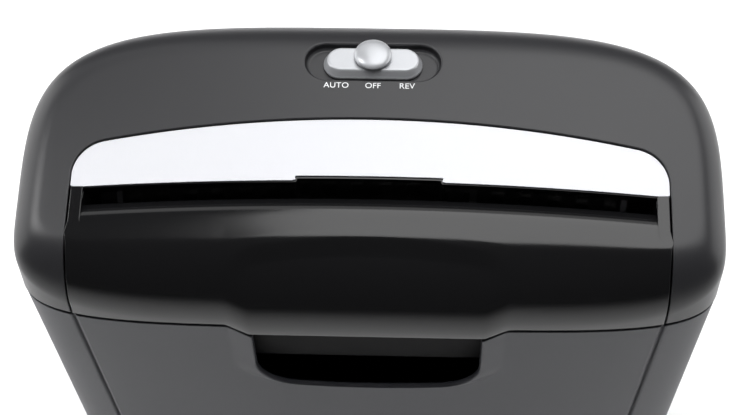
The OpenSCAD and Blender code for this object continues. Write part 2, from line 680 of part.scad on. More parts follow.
pillars = [[front_y - 1, cutter_z + 12], [front_y + 7, cutter_z - 22],
    [rear_y + 11, cutter_z - 31], [rear_y - 3, cutter_z + 36]];
pillar_r = 3.5;
motor_boss_r = 5;
motor_screw_r = 9;

module block_plan() hull() for (p = all_rods) translate(p) circle(5, $fn = sharp);
module drive_plan() {
    hull() {
        translate(rear_axis) circle(10, $fn = sharp);
        translate(second_axis) circle(6, $fn = sharp);
        translate(pillars[3]) circle(5, $fn = sharp);
    }
    hull() {
        translate(rear_axis) circle(10, $fn = sharp);
        translate(second_axis) circle(6, $fn = sharp);
        translate(motor_axis) circle(motor_d / 2 - 1, $fn = sharp);
        translate(pillars[2]) circle(5, $fn = sharp);
    }
}
module frame_foot() translate([front_rods[0][0] - 2, tray_z + tray_t])
    square([rear_rods[0][0] - front_rods[0][0] + 4, 12]);
module plate_holes(from, to) {
    for (p = all_rods) rod_x(from, to, p, rod_r - 0.6 + run_gap);
    for (p = [front_axis, rear_axis]) rod_x(from, to, p, bush_r);
}
module left_side_plate() color([0.62, 0.63, 0.65]) difference() {
    along_x(-plate_out, -plate_in) {
        block_plan();
        frame_foot();
    }
    plate_holes(-plate_out - 1, -plate_in + 1);
}
module right_side_plate() color([0.62, 0.63, 0.65]) difference() {
    along_x(plate_in, plate_out) {
        block_plan();
        drive_plan();
        frame_foot();
    }
    plate_holes(plate_in - 1, plate_out + 1);
    for (p = [second_axis, first_axis]) rod_x(plate_in - 1, plate_out + 1, p, pin_d / 2);
    rod_x(plate_in - 1, plate_out + 1, motor_axis, motor_boss_r + run_gap);
    for (a = [0, 180]) rod_x(plate_in - 1, plate_out + 1, step_to(motor_axis, motor_screw_r, a), 1.55);
    for (p = pillars) rod_x(plate_in - 1, plate_out + 1, p, 1.55);
}
module tie_rods() color([0.7, 0.7, 0.72]) for (p = all_rods) {
    rod_x(-plate_in, plate_in, p, rod_r);
    rod_x(-plate_out - 0.4, plate_out + 0.4, p, rod_r - 0.6);
}
module shaft_bushes() color([0.72, 0.5, 0.25]) for (s = [-1, 1], p = [front_axis, rear_axis]) difference() {
    union() {
        rod_x(s > 0 ? plate_in : -plate_out, s > 0 ? plate_out : -plate_in, p, bush_r);
        rod_x(s > 0 ? plate_out : -plate_out - bush_flange,
            s > 0 ? plate_out + bush_flange : -plate_out, p, bush_r + 1);
    }
    rod_x(-plate_out - 5, plate_out + 5, p, journal_d / 2 + run_gap);
}
hex_end = 8;
module cutter_shaft(p, right_end) color([0.5, 0.51, 0.53]) difference() {
    union() {
        hex_x(-plate_in + 0.2, plate_in - 0.2, p, hex_af);
        rod_x(-x1, x1, p, journal_d / 2);
        hex_x(-x1 - stage_face[2] - 1.6, right_end, p, hex_end);
    }
    clip_groove(p, -x1 - stage_face[2] - clip_t - 0.1, 3);
    clip_groove(p, right_end - 1.6, 3);
}
clip_t = 0.8;
module clip_groove(p, x, r) difference() {
    rod_x(x, x + clip_t + 0.1, p, 8);
    rod_x(x - 1, x + clip_t + 2, p, r);
}
module clip(p, x, r) difference() {
    rod_x(x, x + clip_t, p, r + 3);
    rod_x(x - 1, x + clip_t + 1, p, r + 0.05);
    along_x(x - 1, x + clip_t + 1) translate([p[0] - r * 0.7, p[1] - 10]) square([r * 1.4, 10]);
}
front_end = x1 + 2;
rear_end = x3 + stage_face[2] + 1.6;
module front_cutter_shaft() cutter_shaft(front_axis, front_end);
module rear_cutter_shaft() cutter_shaft(rear_axis, rear_end);
module clips_of(p, right_end) color([0.3, 0.3, 0.31]) {
    clip(p, -x1 - stage_face[2] - clip_t - 0.05, 3);
    clip(p, right_end - 1.55, 3);
}
module front_clips() clips_of(front_axis, front_end);
module rear_clips() clips_of(rear_axis, rear_end);
teeth_per_disc = 12;
function disc_outline() = [for (k = [0:teeth_per_disc - 1], c = [[0, 0], [11, 0], [22, 0], [26, 1.2]])
    let (a = 360 / teeth_per_disc * k + c[0], r = disc_d / 2 - c[1]) [r * cos(a), r * sin(a)]];
module disc_row(p, first) color([0.42, 0.43, 0.45]) for (i = [first:2:slots - 1])
    translate([-cut_half + i * strip_w + disc_gap / 2, 0, 0]) difference() {
        along_x(0, strip_w - disc_gap) translate(p) polygon(disc_outline());
        hex_x(-1, strip_w + 1, p, hex_af + 0.1);
    }
module front_cutter_discs() disc_row(front_axis, 0);
module rear_cutter_discs() disc_row(rear_axis, 1);
module spacer_row(p, first) color([0.85, 0.83, 0.75]) for (i = [first:2:slots - 1]) let (
    lo = max(-cut_half + i * strip_w - disc_gap / 2, -cut_half - plate_gap + 0.3),
    hi = min(-cut_half + (i + 1) * strip_w + disc_gap / 2, cut_half + plate_gap - 0.3)) difference() {
        rod_x(lo + 0.05, hi - 0.05, p, spacer_d / 2);
        hex_x(lo - 1, hi + 1, p, hex_af + 0.1);
    }
module front_spacers() spacer_row(front_axis, 1);
module rear_spacers() spacer_row(rear_axis, 0);
module stripper_plan(axis_y, side) {
    for (p = rods_of(axis_y, side)) translate(p) circle(strip_arm);
    translate([axis_y, cutter_z]) scale([side, 1]) polygon([
        [0, -rod_out[1] - strip_arm],
        [rod_out[0], -rod_out[1] - strip_arm],
        [rod_out[0] + strip_arm, -rod_out[1]],
        [rod_out[0] + strip_arm, rod_out[1]],
        [rod_out[0], rod_out[1] + strip_arm],
        [0, rod_out[1] + strip_arm - 4]]);
}
module stripper_row(axis_y, side, first) color([0.13, 0.13, 0.14]) for (i = [first:2:slots - 1])
    translate([-cut_half + i * strip_w, 0, 0]) difference() {
        along_x(0.5, strip_w - 0.5) difference() {
            stripper_plan(axis_y, side);
            translate([axis_y, cutter_z]) circle(spacer_d / 2 + 0.6);
        }
        for (p = rods_of(axis_y, side)) rod_x(-1, strip_w + 1, p, rod_r + 0.05);
    }
module front_stripper() stripper_row(front_y, -1, 1);
module rear_stripper() stripper_row(rear_y, 1, 2);

// ---- gears
pressure = 20;
function spread(r, rb) = let (a = acos(min(rb / r, 1))) (tan(a) * 180 / PI - a);
// Points given as (radius, angle), turned by c
function turned(pts, c) = [for (p = pts) [p[0] * cos(c + p[1]), p[0] * sin(c + p[1])]];
// Outline of a spur gear: z teeth of module m, profile shift s, first tooth's middle at angle a0
module gear_plan(z, m, s, a0) let (rp = m * z / 2, rb = rp * cos(pressure), ra = rp + m * (1 + s) - 0.1,
    rf = rp - m * (1.25 - s), full = 90 / z + (2 * s * m * tan(pressure) - backlash / 2) / (2 * rp) * 180 / PI,
    rs = [max(rf, rb), (max(rf, rb) + 2 * ra) / 3, ra],
    h = [for (r = rs) full + spread(rp, rb) - spread(r, rb)])
    polygon([for (k = [0:z - 1]) each turned([
        [rf, -h[0] - 0.5], [rs[0] + 0.01, -h[0]], [rs[1], -h[1]], [rs[2], -h[2]],
        [rs[2], h[2]], [rs[1], h[1]], [rs[0] + 0.01, h[0]], [rf, h[0] + 0.5]], a0 + 360 / z * k)]);
shift = 0.35;
module gear(p, from, face, z, m, s, a0) along_x(from, from + face) translate(p) gear_plan(z, m, s, a0);
sync_m = shaft_gap / sync_teeth;
module timing_gear(p, a0) color([0.45, 0.46, 0.48]) difference() {
    gear(p, -x1 - stage_face[2], stage_face[2], sync_teeth, sync_m, 0, a0);
    hex_x(-x1 - stage_face[2] - 1, -x1 + 1, p, hex_end + 0.1);
}
module front_timing_gear() timing_gear(front_axis, 0);
module rear_timing_gear() timing_gear(rear_axis, 180 + 180 / sync_teeth);
module drive_gear() color([0.45, 0.46, 0.48]) difference() {
    gear(rear_axis, x3, stage_face[2], drive_teeth, stage_module[2], -shift, line3);
    hex_x(x3 - 1, x3 + stage_face[2] + 1, rear_axis, hex_end + 0.1);
}
module compound(p, xa, face_a, za, ma, a_in, xb, face_b, zb, mb, a_out) difference() {
    union() {
        gear(p, xa, face_a, za, ma, -shift, a_in);
        gear(p, xb, face_b, zb, mb, shift, a_out);
        rod_x(xa + face_a - 0.1, xb + 0.1, p, mb * zb / 2 - mb * 1.3);
    }
    rod_x(xa - 1, xb + face_b + 1, p, pin_d / 2 + run_gap);
}
module second_gear() color([0.88, 0.87, 0.82]) compound(second_axis,
    x2, stage_face[1], second_teeth[0], stage_module[1], line2,
    x3, stage_face[2], second_teeth[1], stage_module[2], line3 + 180 + 180 / second_teeth[1]);
module first_gear() color([0.88, 0.87, 0.82]) compound(first_axis,
    x1, stage_face[0], first_teeth[0], stage_module[0], line1,
    x2, stage_face[1], first_teeth[1], stage_module[1], line2 + 180 + 180 / first_teeth[1]);
module gear_pins() color([0.7, 0.7, 0.72]) for (p = [second_axis, first_axis]) {
    rod_x(plate_in, cover_in + cover_t, p, pin_d / 2);
    rod_x(plate_out, (p == first_axis ? x1 : x2) - 0.3, p, pin_d / 2 + 1.5);
}
module motor_pinion() color([0.75, 0.62, 0.3]) difference() {
    gear(motor_axis, x1, stage_face[0], pinion_teeth, stage_module[0], shift, line1 + 180 + 180 / pinion_teeth);
    rod_x(x1 - 1, x1 + stage_face[0] + 1, motor_axis, motor_shaft_d / 2);
}
module gear_cover() color([0.12, 0.12, 0.13]) difference() {
    union() {
        along_x(cover_in, cover_in + cover_t) hull() {
            for (p = pillars) translate(p) circle(pillar_r + 1, $fn = sharp);
            for (p = [second_axis, first_axis]) translate(p) circle(pin_d / 2 + 3, $fn = sharp);
        }
        for (p = pillars) rod_x(plate_out, cover_in + eps, p, pillar_r);
    }
    for (p = [second_axis, first_axis]) rod_x(cover_in - 1, cover_in + cover_t + 1, p, pin_d / 2);
    for (p = pillars) rod_x(plate_out - 1, cover_in + cover_t + 1, p, 1.4);
    rod_x(cover_in - 1, cover_in + cover_t + 1, rear_axis, hex_end);
}
module cover_plate_screws() color([0.7, 0.7, 0.72]) for (p = pillars) {
    rod_x(cover_in + cover_t, cover_in + cover_t + 1.8, p, 2.8);
    rod_x(plate_in + 0.2, cover_in + cover_t + eps, p, 1.3);
}

// ---- motor
motor_x = plate_in - motor_len;
bush_bore = motor_shaft_d / 2 + run_gap;
rotor_r = motor_d / 2 - can_t - 3.4;
magnet_in = rotor_r + 0.6;
// Lengths along the motor, from the ends of its can
magnet_end = 9;
core_end = 12;
winding_end = 8.5;
commutator_at = 1.5;
bearing_out = 6;
cap_t = 3;
module motor_can() color([0.5, 0.5, 0.52]) difference() {
    union() {
        rod_x(motor_x, plate_in, motor_axis, motor_d / 2);
        rod_x(plate_in - 1, plate_out, motor_axis, motor_boss_r);
    }
    rod_x(motor_x - 1, plate_in - can_t, motor_axis, motor_d / 2 - can_t);
    rod_x(motor_x, plate_out + 1, motor_axis, motor_boss_r - 2);
    for (a = [0, 180]) rod_x(plate_in - 5, plate_in + 1, step_to(motor_axis, motor_screw_r, a), 1.3);
}
module motor_magnets() color([0.2, 0.19, 0.2])
    along_x(motor_x + magnet_end, plate_in - magnet_end) translate(motor_axis) difference() {
    circle(motor_d / 2 - can_t - 0.05, $fn = 64);
    circle(magnet_in, $fn = 64);
    square([11, motor_d], center = true);
}
module armature() color([0.55, 0.35, 0.2]) difference() {
    union() {
        along_x(motor_x + core_end, plate_in - core_end) translate(motor_axis) difference() {
            circle(rotor_r, $fn = 64);
            for (a = [0:72:359]) rotate(a) translate([rotor_r - 3, 0]) square([8, 2.2], center = true);
            for (a = [0:72:359]) rotate(a) translate([rotor_r - 5, 0]) circle(2.6, $fn = 20);
        }
        rod_x(motor_x + winding_end, motor_x + core_end + eps, motor_axis, rotor_r - 3);
        rod_x(plate_in - core_end - eps, plate_in - winding_end + 0.5, motor_axis, rotor_r - 3);
    }
    rod_x(motor_x, plate_in, motor_axis, motor_shaft_d / 2);
}
module motor_shaft() color([0.75, 0.76, 0.78])
    rod_x(motor_x - bearing_out, x1 + stage_face[0], motor_axis, motor_shaft_d / 2);
commutator_r = 4.5;
module commutator() color([0.72, 0.45, 0.25]) difference() {
    rod_x(motor_x + commutator_at, motor_x + winding_end, motor_axis, commutator_r);
    rod_x(motor_x, motor_x + winding_end + 1, motor_axis, motor_shaft_d / 2);
    for (a = [0:45:179]) translate([motor_x, motor_axis[0], motor_axis[1]]) rotate([a, 0, 0])
        translate([0, -far / 2, -0.2]) cube([winding_end - commutator_at, far, 0.4]);
}
brush_w = 4;
brush_r = commutator_r + 0.05;
brush_out = 13;
module brush_bar(w, from, to) for (s = [-1, 1]) translate([motor_x + 2.4 + (brush_w - w) / 2,
    motor_axis[0] - w / 2, motor_axis[1] + (s > 0 ? from : -to)]) cube([w, w, to - from]);
module motor_brushes() color([0.16, 0.16, 0.16]) brush_bar(brush_w, brush_r, brush_out);
module motor_end_cap() color([0.14, 0.14, 0.15]) difference() {
    union() {
        rod_x(motor_x - cap_t, motor_x, motor_axis, motor_d / 2);
        rod_x(motor_x - eps, motor_x + 1, motor_axis, motor_d / 2 - can_t - 0.1);
        rod_x(motor_x - bearing_out, motor_x - cap_t + eps, motor_axis, motor_boss_r + 0.5);
        for (s = [-1, 1]) translate([motor_x, motor_axis[0] - brush_w / 2 - 1,
            motor_axis[1] + (s > 0 ? brush_r + 1.5 : -brush_out - 1)])
            cube([brush_w + 3.6, brush_w + 2, brush_out - brush_r - 0.5]);
    }
    rod_x(motor_x - bearing_out - 1, motor_x + 2, motor_axis, motor_boss_r - 2);
    brush_bar(brush_w + 0.04, brush_r, brush_out + 0.02);
}
module motor_bushes() color([0.72, 0.5, 0.25]) difference() {
    union() {
        rod_x(motor_x - bearing_out, motor_x + 1, motor_axis, motor_boss_r - 2);
        rod_x(plate_in - 4, plate_out, motor_axis, motor_boss_r - 2);
    }
    rod_x(motor_x - bearing_out - 1, plate_out + 1, motor_axis, bush_bore);
}
module motor_screws() color([0.7, 0.7, 0.72]) for (a = [0, 180]) {
    rod_x(plate_out, plate_out + 1.4, step_to(motor_axis, motor_screw_r, a), 2.6);
    rod_x(plate_in - 3.5, plate_out + eps, step_to(motor_axis, motor_screw_r, a), 1.3);
}
module thermal_cutout() color([0.75, 0.72, 0.62])
    translate([motor_x + motor_len / 2, motor_axis[0], motor_axis[1] + motor_d / 2 + 0.2]) {
    block(13, 7, 3.6, 1);
    for (i = [-1, 1]) translate([i * 8, 0, 1]) cube([5, 3, 0.8], center = true);
}

// ---- electrics
board_x = -64;
board_y = (well_front + well_back) / 2;
board_z = well_z + tray_t + 5;
board_t = 1.6;
board_top = board_z + board_t;
module circuit_board() color([0.12, 0.3, 0.16]) difference() {
    translate([board_x, board_y, board_z]) block(board_w, board_d, board_t, 1);
    for (i = [-1, 1], j = [-1, 1])
        translate([board_x + i * (board_w / 2 - 4), board_y + j * (board_d / 2 - 4), board_z - 1]) cylinder(h = 4, r = 1.6);
}
module on_board(dx, dy) translate([board_x + dx, board_y + dy, board_top]) children();
module relay() color([0.15, 0.35, 0.6]) on_board(-16, 8) block(19, 15.5, 15.3, 0.6);
module rectifier() color([0.13, 0.13, 0.13]) on_board(14, -11) block(22, 4, 15, 0.8);
module capacitor() color([0.16, 0.18, 0.3]) on_board(10, 8) cylinder(h = 22, r = 6.5);
module fuse_holder() color([0.8, 0.8, 0.78]) on_board(-16, -12) {
    for (i = [-1, 1]) translate([i * 9, 0, 0]) {
        translate([-1.5, -3, 0]) cube([3, 6, 2]);
        translate([-3, 0, 4]) rotate([0, 90, 0]) cylinder(h = 6, r = 3);
    }
    translate([-7, 0, 4]) rotate([0, 90, 0]) cylinder(h = 14, r = 2.6);
}
mode_top = dish_z - 9;
module mode_switch() color([0.16, 0.16, 0.17]) translate([0, slider_y, mode_top]) difference() {
    union() {
        translate([0, 0, -8]) block(27, 11, 8, 0.8);
        translate([0, 0, -1.5]) block(2 * switch_ear + 8, 6.5, 1.5, 3);
    }
    translate([0, 0, -4]) linear_extrude(5) square([2 * slide_travel + 3.6, 3.6], center = true);
    for (i = [-1, 1]) translate([i * switch_ear, 0, -3]) cylinder(h = 4, r = 1.4);
}
module switch_carriage() color([0.85, 0.85, 0.85])
    translate([-1.5, slider_y - 1.5, mode_top - 3.7]) cube([3, 3, 7]);
module slider_plate() color([0.85, 0.86, 0.87]) difference() {
    union() {
        translate([0, slider_y, dish_z + 0.3]) hull() {
            block(plate_w, plate_d, 1.2, plate_d / 2 - 0.1, $fn = 32);
            block(plate_w - 4, plate_d - 4, plate_h, plate_d / 2 - 2.1, $fn = 32);
        }
        translate([-stem_w / 2, slider_y - stem_d / 2, mode_top + 0.3])
            cube([stem_w, stem_d, dish_z - mode_top + 0.5]);
    }
    translate([-1.55, slider_y - 1.55, mode_top]) cube([3.1, 3.1, 3.6]);
}
function dome(n) = [for (j = [0:n]) let (a = 90 * j / n)
    [button_d / 2 * pow(cos(a), 0.8), 1.8 + (button_h - 1.8) * sin(a)]];
module slider_button() color([0.88, 0.89, 0.9]) translate([0, slider_y + 1, dish_z + 0.3 + plate_h])
    rotate_extrude($fn = 48) polygon(concat(
        [[0, 0], [plate_d / 2 - 2.2, 0], [plate_d / 2 - 1.6, 0.7], [button_d / 2 - 0.6, 1.1]], dome(8)));

sensor_y = slot_y + nip_back + 8;
sensor_z = slot_z - 20;
module sensor_lever() color([0.85, 0.83, 0.78]) difference() {
    along_x(sensor_x - 1.5, sensor_x + 1.5) translate([sensor_y, sensor_z]) union() {
        circle(3.2);
        polygon([[0, 3], [-5, 2.4], [-13, -0.8], [-13.5, -2.6], [-12.2, -3.2], [-5, -2.4], [0, -3],
            [1, -1.6], [12.5, -1], [12.5, 1.4], [1, 1.4]]);
    }
    rod_x(sensor_x - 3, sensor_x + 3, [sensor_y, sensor_z], 1.5 + run_gap);
}
module sensor_switch() color([0.12, 0.12, 0.13]) {
    translate([sensor_x - 3.2, sensor_y + 6, sensor_z + 7.3]) cube([6.4, 20, 6.7]);
    translate([sensor_x - 1, sensor_y + 8, sensor_z + 6.6]) cube([2, 2.4, 1]);
    for (s = [-1, 1]) translate([sensor_x + (s > 0 ? 1.9 : -3.2), sensor_y - 3.4, sensor_z - 3])
        cube([1.3, 10, 14]);
    rod_x(sensor_x - 2.5, sensor_x + 2.5, [sensor_y, sensor_z], 1.5);
}
interlock_z = tab_top + 5.5;
interlock_x = -head_half_w + 4;
module interlock_switch() color([0.12, 0.12, 0.13]) {
    translate([interlock_x, tab_y - 10, interlock_z]) cube([10, 20, 10]);
    for (s = [-1, 1]) translate([interlock_x + 1, tab_y + (s > 0 ? 3.1 : -4.3), tab_top + 0.6])
        cube([5, 1.2, 5]);
}
module interlock_plunger() color([0.8, 0.25, 0.2])
    translate([interlock_x - 0.9, tab_y - 3, tab_top]) cube([6, 6, 5]);

module cord_inlet() color([0.05, 0.05, 0.05])
    translate([inlet_x, inlet_y, inlet_z]) rotate([90, 0, 0]) difference() {
    union() {
        translate([0, 0, -0.4]) cylinder(h = shell_t + 6, r = inlet_r);
        translate([0, 0, shell_t + 1.2]) cylinder(h = 1.6, r = inlet_r + 2);
    }
    translate([0, 0, -2]) cylinder(h = 20, r = inlet_d / 2);
}
module cover_screws() color([0.6, 0.6, 0.62]) {
    for (p = post_spots) translate([p[0], p[1], column_low - 2.6]) {
        cylinder(h = 2.6, r = 3.4);
        cylinder(h = 26, r = 1.5);
    }
    for (i = [-1, 1]) translate([i * switch_ear, slider_y, mode_top - 3.1]) {
        cylinder(h = 1.6, r = 2.4);
        cylinder(h = 7, r = 1.1);
    }
}

bin();
top_cover();
front_panel();
label_plate();
base_housing();
slider_plate();
slider_button();
switch_carriage();
mode_switch();
left_side_plate();
right_side_plate();
tie_rods();
shaft_bushes();
front_cutter_shaft();
rear_cutter_shaft();
front_cutter_discs();
rear_cutter_discs();
front_spacers();
rear_spacers();
front_stripper();
rear_stripper();
front_timing_gear();
rear_timing_gear();
front_clips();
rear_clips();
drive_gear();
second_gear();
first_gear();
gear_pins();
motor_pinion();
gear_cover();
motor_can();
motor_magnets();
armature();
motor_shaft();
commutator();
motor_brushes();
motor_end_cap();
motor_bushes();
motor_screws();
thermal_cutout();
circuit_board();
relay();
rectifier();
capacitor();
fuse_holder();
sensor_lever();
sensor_switch();
interlock_plunger();
interlock_switch();
cord_inlet();
cover_screws();
cover_plate_screws();
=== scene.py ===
import math

import bpy
import numpy as np
from mathutils import Matrix, Vector


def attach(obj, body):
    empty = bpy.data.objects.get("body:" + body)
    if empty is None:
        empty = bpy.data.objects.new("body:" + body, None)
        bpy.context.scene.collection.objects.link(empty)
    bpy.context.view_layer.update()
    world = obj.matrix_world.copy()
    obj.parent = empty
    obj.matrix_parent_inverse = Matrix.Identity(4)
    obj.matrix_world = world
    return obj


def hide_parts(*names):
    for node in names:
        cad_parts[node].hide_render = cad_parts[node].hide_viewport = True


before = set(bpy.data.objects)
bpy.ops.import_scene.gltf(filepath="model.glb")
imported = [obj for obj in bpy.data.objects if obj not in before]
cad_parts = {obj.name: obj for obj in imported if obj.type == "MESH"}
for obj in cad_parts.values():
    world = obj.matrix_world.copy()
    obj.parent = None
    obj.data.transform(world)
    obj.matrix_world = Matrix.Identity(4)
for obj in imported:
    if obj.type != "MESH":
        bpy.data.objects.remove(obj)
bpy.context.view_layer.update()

# ---- Studio ----
# A pale tabletop under big soft lights, and the camera above the front edge, looking
# steeply down on the head of the shredder.
FLOOR_PALE, FLOOR_MOTTLE = (0.92, 0.92, 0.925, 1), (0.9, 0.9, 0.905, 1)
FLOOR_HALF = 4.0
ROOM_GLOW = 0.05
CAMERA_AT = Vector((0.02511, -0.44733, 0.91646))
CAMERA_DOWN, CAMERA_TURN, CAMERA_ROLL = 0.97738, -0.05325, -0.02646
LENS, SENSOR = 84, 36


class Value:
    """A socket's value in a finish; arithmetic on it adds Math nodes."""

    def __init__(self, finish, socket):
        self.finish, self.socket = finish, socket

    def maths(self, operation, *others):
        return self.finish.node("ShaderNodeMath", {"operation": operation}, dict(enumerate(others)))

    def __add__(self, other): return self.maths("ADD", self, other)
    def __sub__(self, other): return self.maths("SUBTRACT", self, other)
    def __rsub__(self, other): return self.maths("SUBTRACT", other, self)
    def __mul__(self, other): return self.maths("MULTIPLY", self, other)
    def __pow__(self, other): return self.maths("POWER", self, other)
    __radd__ = __add__
    __rmul__ = __mul__


class Finish:
    """A material in the making: a Principled shader and the nodes that feed it."""

    def __init__(self, name, **constants):
        self.material = bpy.data.materials.new(name)
        self.material.use_nodes = True
        self.tree = self.material.node_tree
        self.tree.nodes.clear()
        self.shader = self.tree.nodes.new("ShaderNodeBsdfPrincipled")
        output = self.tree.nodes.new("ShaderNodeOutputMaterial")
        self.tree.links.new(self.shader.outputs[0], output.inputs[0])
        self.set(**constants)

    def put(self, socket, value):
        if isinstance(value, Value):
            self.tree.links.new(value.socket, socket)
        else:
            socket.default_value = value

    def set(self, **values):
        for name, value in values.items():
            self.put(self.shader.inputs[name.replace("_", " ")], value)
        return self.material

    def node(self, kind, settings=None, values=None, out=0):
        made = self.tree.nodes.new(kind)
        for key, value in (settings or {}).items():
            setattr(made, key, value)
        for key, value in (values or {}).items():
            self.put(made.inputs[key], value)
        return Value(self, made.outputs[out])

    def place(self, *stretch):
        here = self.node("ShaderNodeTexCoord", out=3)
        if not stretch:
            return here
        return self.node("ShaderNodeMapping", {}, {0: here, 3: stretch})

    def noise(self, scale, detail=2.0, stretch=()):
        return self.node("ShaderNodeTexNoise", {},
                         {"Vector": self.place(*stretch), "Scale": scale, "Detail": detail})

    def blend(self, factor, first, second):
        return self.node("ShaderNodeMix", {"data_type": "RGBA"}, {0: factor, 6: first, 7: second}, out=2)

    def bump(self, height, depth):
        return self.node("ShaderNodeBump", {}, {"Height": height, "Distance": depth, "Strength": 1.0})


def light(name, at, target, size, radiance, mirrored=True, spread=180):
    """A soft box as bright as its radiance over all of its face; mirrored says if gloss shows it."""
    lamp = bpy.data.lights.new(name, "AREA")
    lamp.shape, lamp.size, lamp.size_y = "RECTANGLE", size[0], size[1]
    lamp.energy, lamp.spread = radiance * math.pi * size[0] * size[1], math.radians(spread)
    holder = bpy.data.objects.new(name, lamp)
    holder.location = at
    holder.rotation_euler = (Vector(target) - Vector(at)).to_track_quat("-Z", "Y").to_euler()
    holder.visible_glossy = mirrored
    bpy.context.scene.collection.objects.link(holder)


floor_mesh = bpy.data.meshes.new("floor")
floor_mesh.from_pydata([(-FLOOR_HALF, -FLOOR_HALF, 0), (FLOOR_HALF, -FLOOR_HALF, 0),
                        (FLOOR_HALF, FLOOR_HALF, 0), (-FLOOR_HALF, FLOOR_HALF, 0)], [], [(0, 1, 2, 3)])
floor = bpy.data.objects.new("floor", floor_mesh)
bpy.context.scene.collection.objects.link(floor)
paper = Finish("backdrop_paper", Roughness=0.9)
mottle = paper.noise(3.0)
floor_mesh.materials.append(paper.set(Base_Color=paper.blend(mottle, FLOOR_PALE, FLOOR_MOTTLE)))

world = bpy.data.worlds.new("studio")
world.use_nodes = True
background = world.node_tree.nodes["Background"]
background.inputs["Color"].default_value = (1, 1, 1, 1)
background.inputs["Strength"].default_value = ROOM_GLOW
bpy.context.scene.world = world
bpy.context.scene.view_settings.view_transform = "Standard"
light("top_softbox", (0.45, 0.66, 1.75), (0.45, 0.6, 0.25), (1.3, 1.62), 2.5)
light("back_softbox", (-0.1, 2.0, 1.75), (-0.1, 1.6, 0.25), (2.8, 0.95), 0.75)
light("shoulder_softbox", (-1.15, 0.22, 1.75), (-0.8, 0.2, 0.25), (0.6, 0.8), 8.0)
light("left_softbox", (-1.15, 0.4, 0.5), (0, 0.05, 0.25), (1.4, 0.95), 1.9)
light("right_softbox", (1.15, 0.4, 0.5), (0, 0.05, 0.25), (1.4, 0.95), 1.7)
light("table_fill", (0, 0.05, 1.9), (0, 0.05, 0), (1.3, 1.0), 1.45, mirrored=False, spread=80)

level_out = math.cos(CAMERA_DOWN)
look = Vector((math.sin(CAMERA_TURN) * level_out, math.cos(CAMERA_TURN) * level_out,
               -math.sin(CAMERA_DOWN)))
across = Vector((math.cos(CAMERA_TURN), -math.sin(CAMERA_TURN), 0))
above = across.cross(look)
across, above = (math.cos(CAMERA_ROLL) * across + math.sin(CAMERA_ROLL) * above,
                 math.cos(CAMERA_ROLL) * above - math.sin(CAMERA_ROLL) * across)
camera = bpy.data.objects.new("camera", bpy.data.cameras.new("camera"))
camera.data.lens, camera.data.sensor_width = LENS, SENSOR
camera.matrix_world = Matrix.Translation(CAMERA_AT) @ Matrix((across, above, -look)).transposed().to_4x4()
bpy.context.scene.collection.objects.link(camera)
bpy.context.scene.camera = camera

# ---- Bin ----
# The waste bin that the head stands on: one blue-black moulding, drafted on all sides, with
# an open hand opening in its front wall under a flared margin, and two thin grooves beside
# it. A lip on its rim reaches up into the head, and a tab on the lip works the safety switch.
HALF_W, HEAD_FRONT, HEAD_BACK = 153.0, 45.5, 98.0
SLOT_Y, SLOT_Z, SEAM_Z = -24.75, 302.0, 264.0
FRONT_SQUARE, BACK_SQUARE = 5.0, 3.5
BIN_WALL, BIN_INSET, BIN_TOP, EDGE_R = 2.4, 0.15, 262.0, 0.6
TAPER_X, TAPER_Y = math.tan(math.radians(3.2)), math.tan(math.radians(2.6))
HAND_HALF, HAND_Z, HAND_R, HAND_SAG = 50.0, 214.0, 17.0, 4.5
HAND_MARGIN, HAND_LOW, HAND_OUT = 10.0, 4.5, 3.0
LIP_TOP, LIP_OUT, LIP_IN = 266.0, 2.8, 4.8
TAB_TOP, TAB_HALF, TAB_THICK = 274.0, 6, 2
FOOT_R, SOLE_IN, SOLE_Z = 8.0, 16.6, 1
GROOVE_X, GROOVE_R, GROOVE_DEEP = 127.5, 0.7, 1.12
PAD_HALF, PAD_DROP, PAD_R, PAD_MARGIN = 61.0, 4.0, 13.0, 10.0
MM = 0.001
EDGE_REACH, SNAP_SHARE = 6, 0.2


def unit(v):
    return v / np.maximum(np.linalg.norm(v, axis=-1, keepdims=True), 1e-12)


def slopes(p, axis, wrap):
    """Tangents of a grid of points along one axis, exact to second order on uneven steps."""
    before, after = np.roll(p, 1, axis), np.roll(p, -1, axis)
    h1 = np.linalg.norm(p - before, axis=-1, keepdims=True) + 1e-9
    h2 = np.linalg.norm(after - p, axis=-1, keepdims=True) + 1e-9
    tangent = ((after - p) * h1 / h2 + (p - before) * h2 / h1) / (h1 + h2)
    if not wrap:
        move = lambda i: (slice(None),) * axis + (i,)
        tangent[move(0)] = (after - p)[move(0)] / h2[move(0)]
        tangent[move(-1)] = (p - before)[move(-1)] / h1[move(-1)]
    return tangent


def facing_of(ring):
    """Which way a flat face round these points faces."""
    return unit(sum(np.cross(ring[k - 1], ring[k]) for k in range(len(ring))))


def fillet(r, steps=3):
    """Section of a rounded edge: how far out, how far down, and which way it faces."""
    return [(r * math.sin(a), r * (1 - math.cos(a)), math.degrees(a))
            for a in (math.pi / 2 * i / steps for i in range(1, steps + 1))]


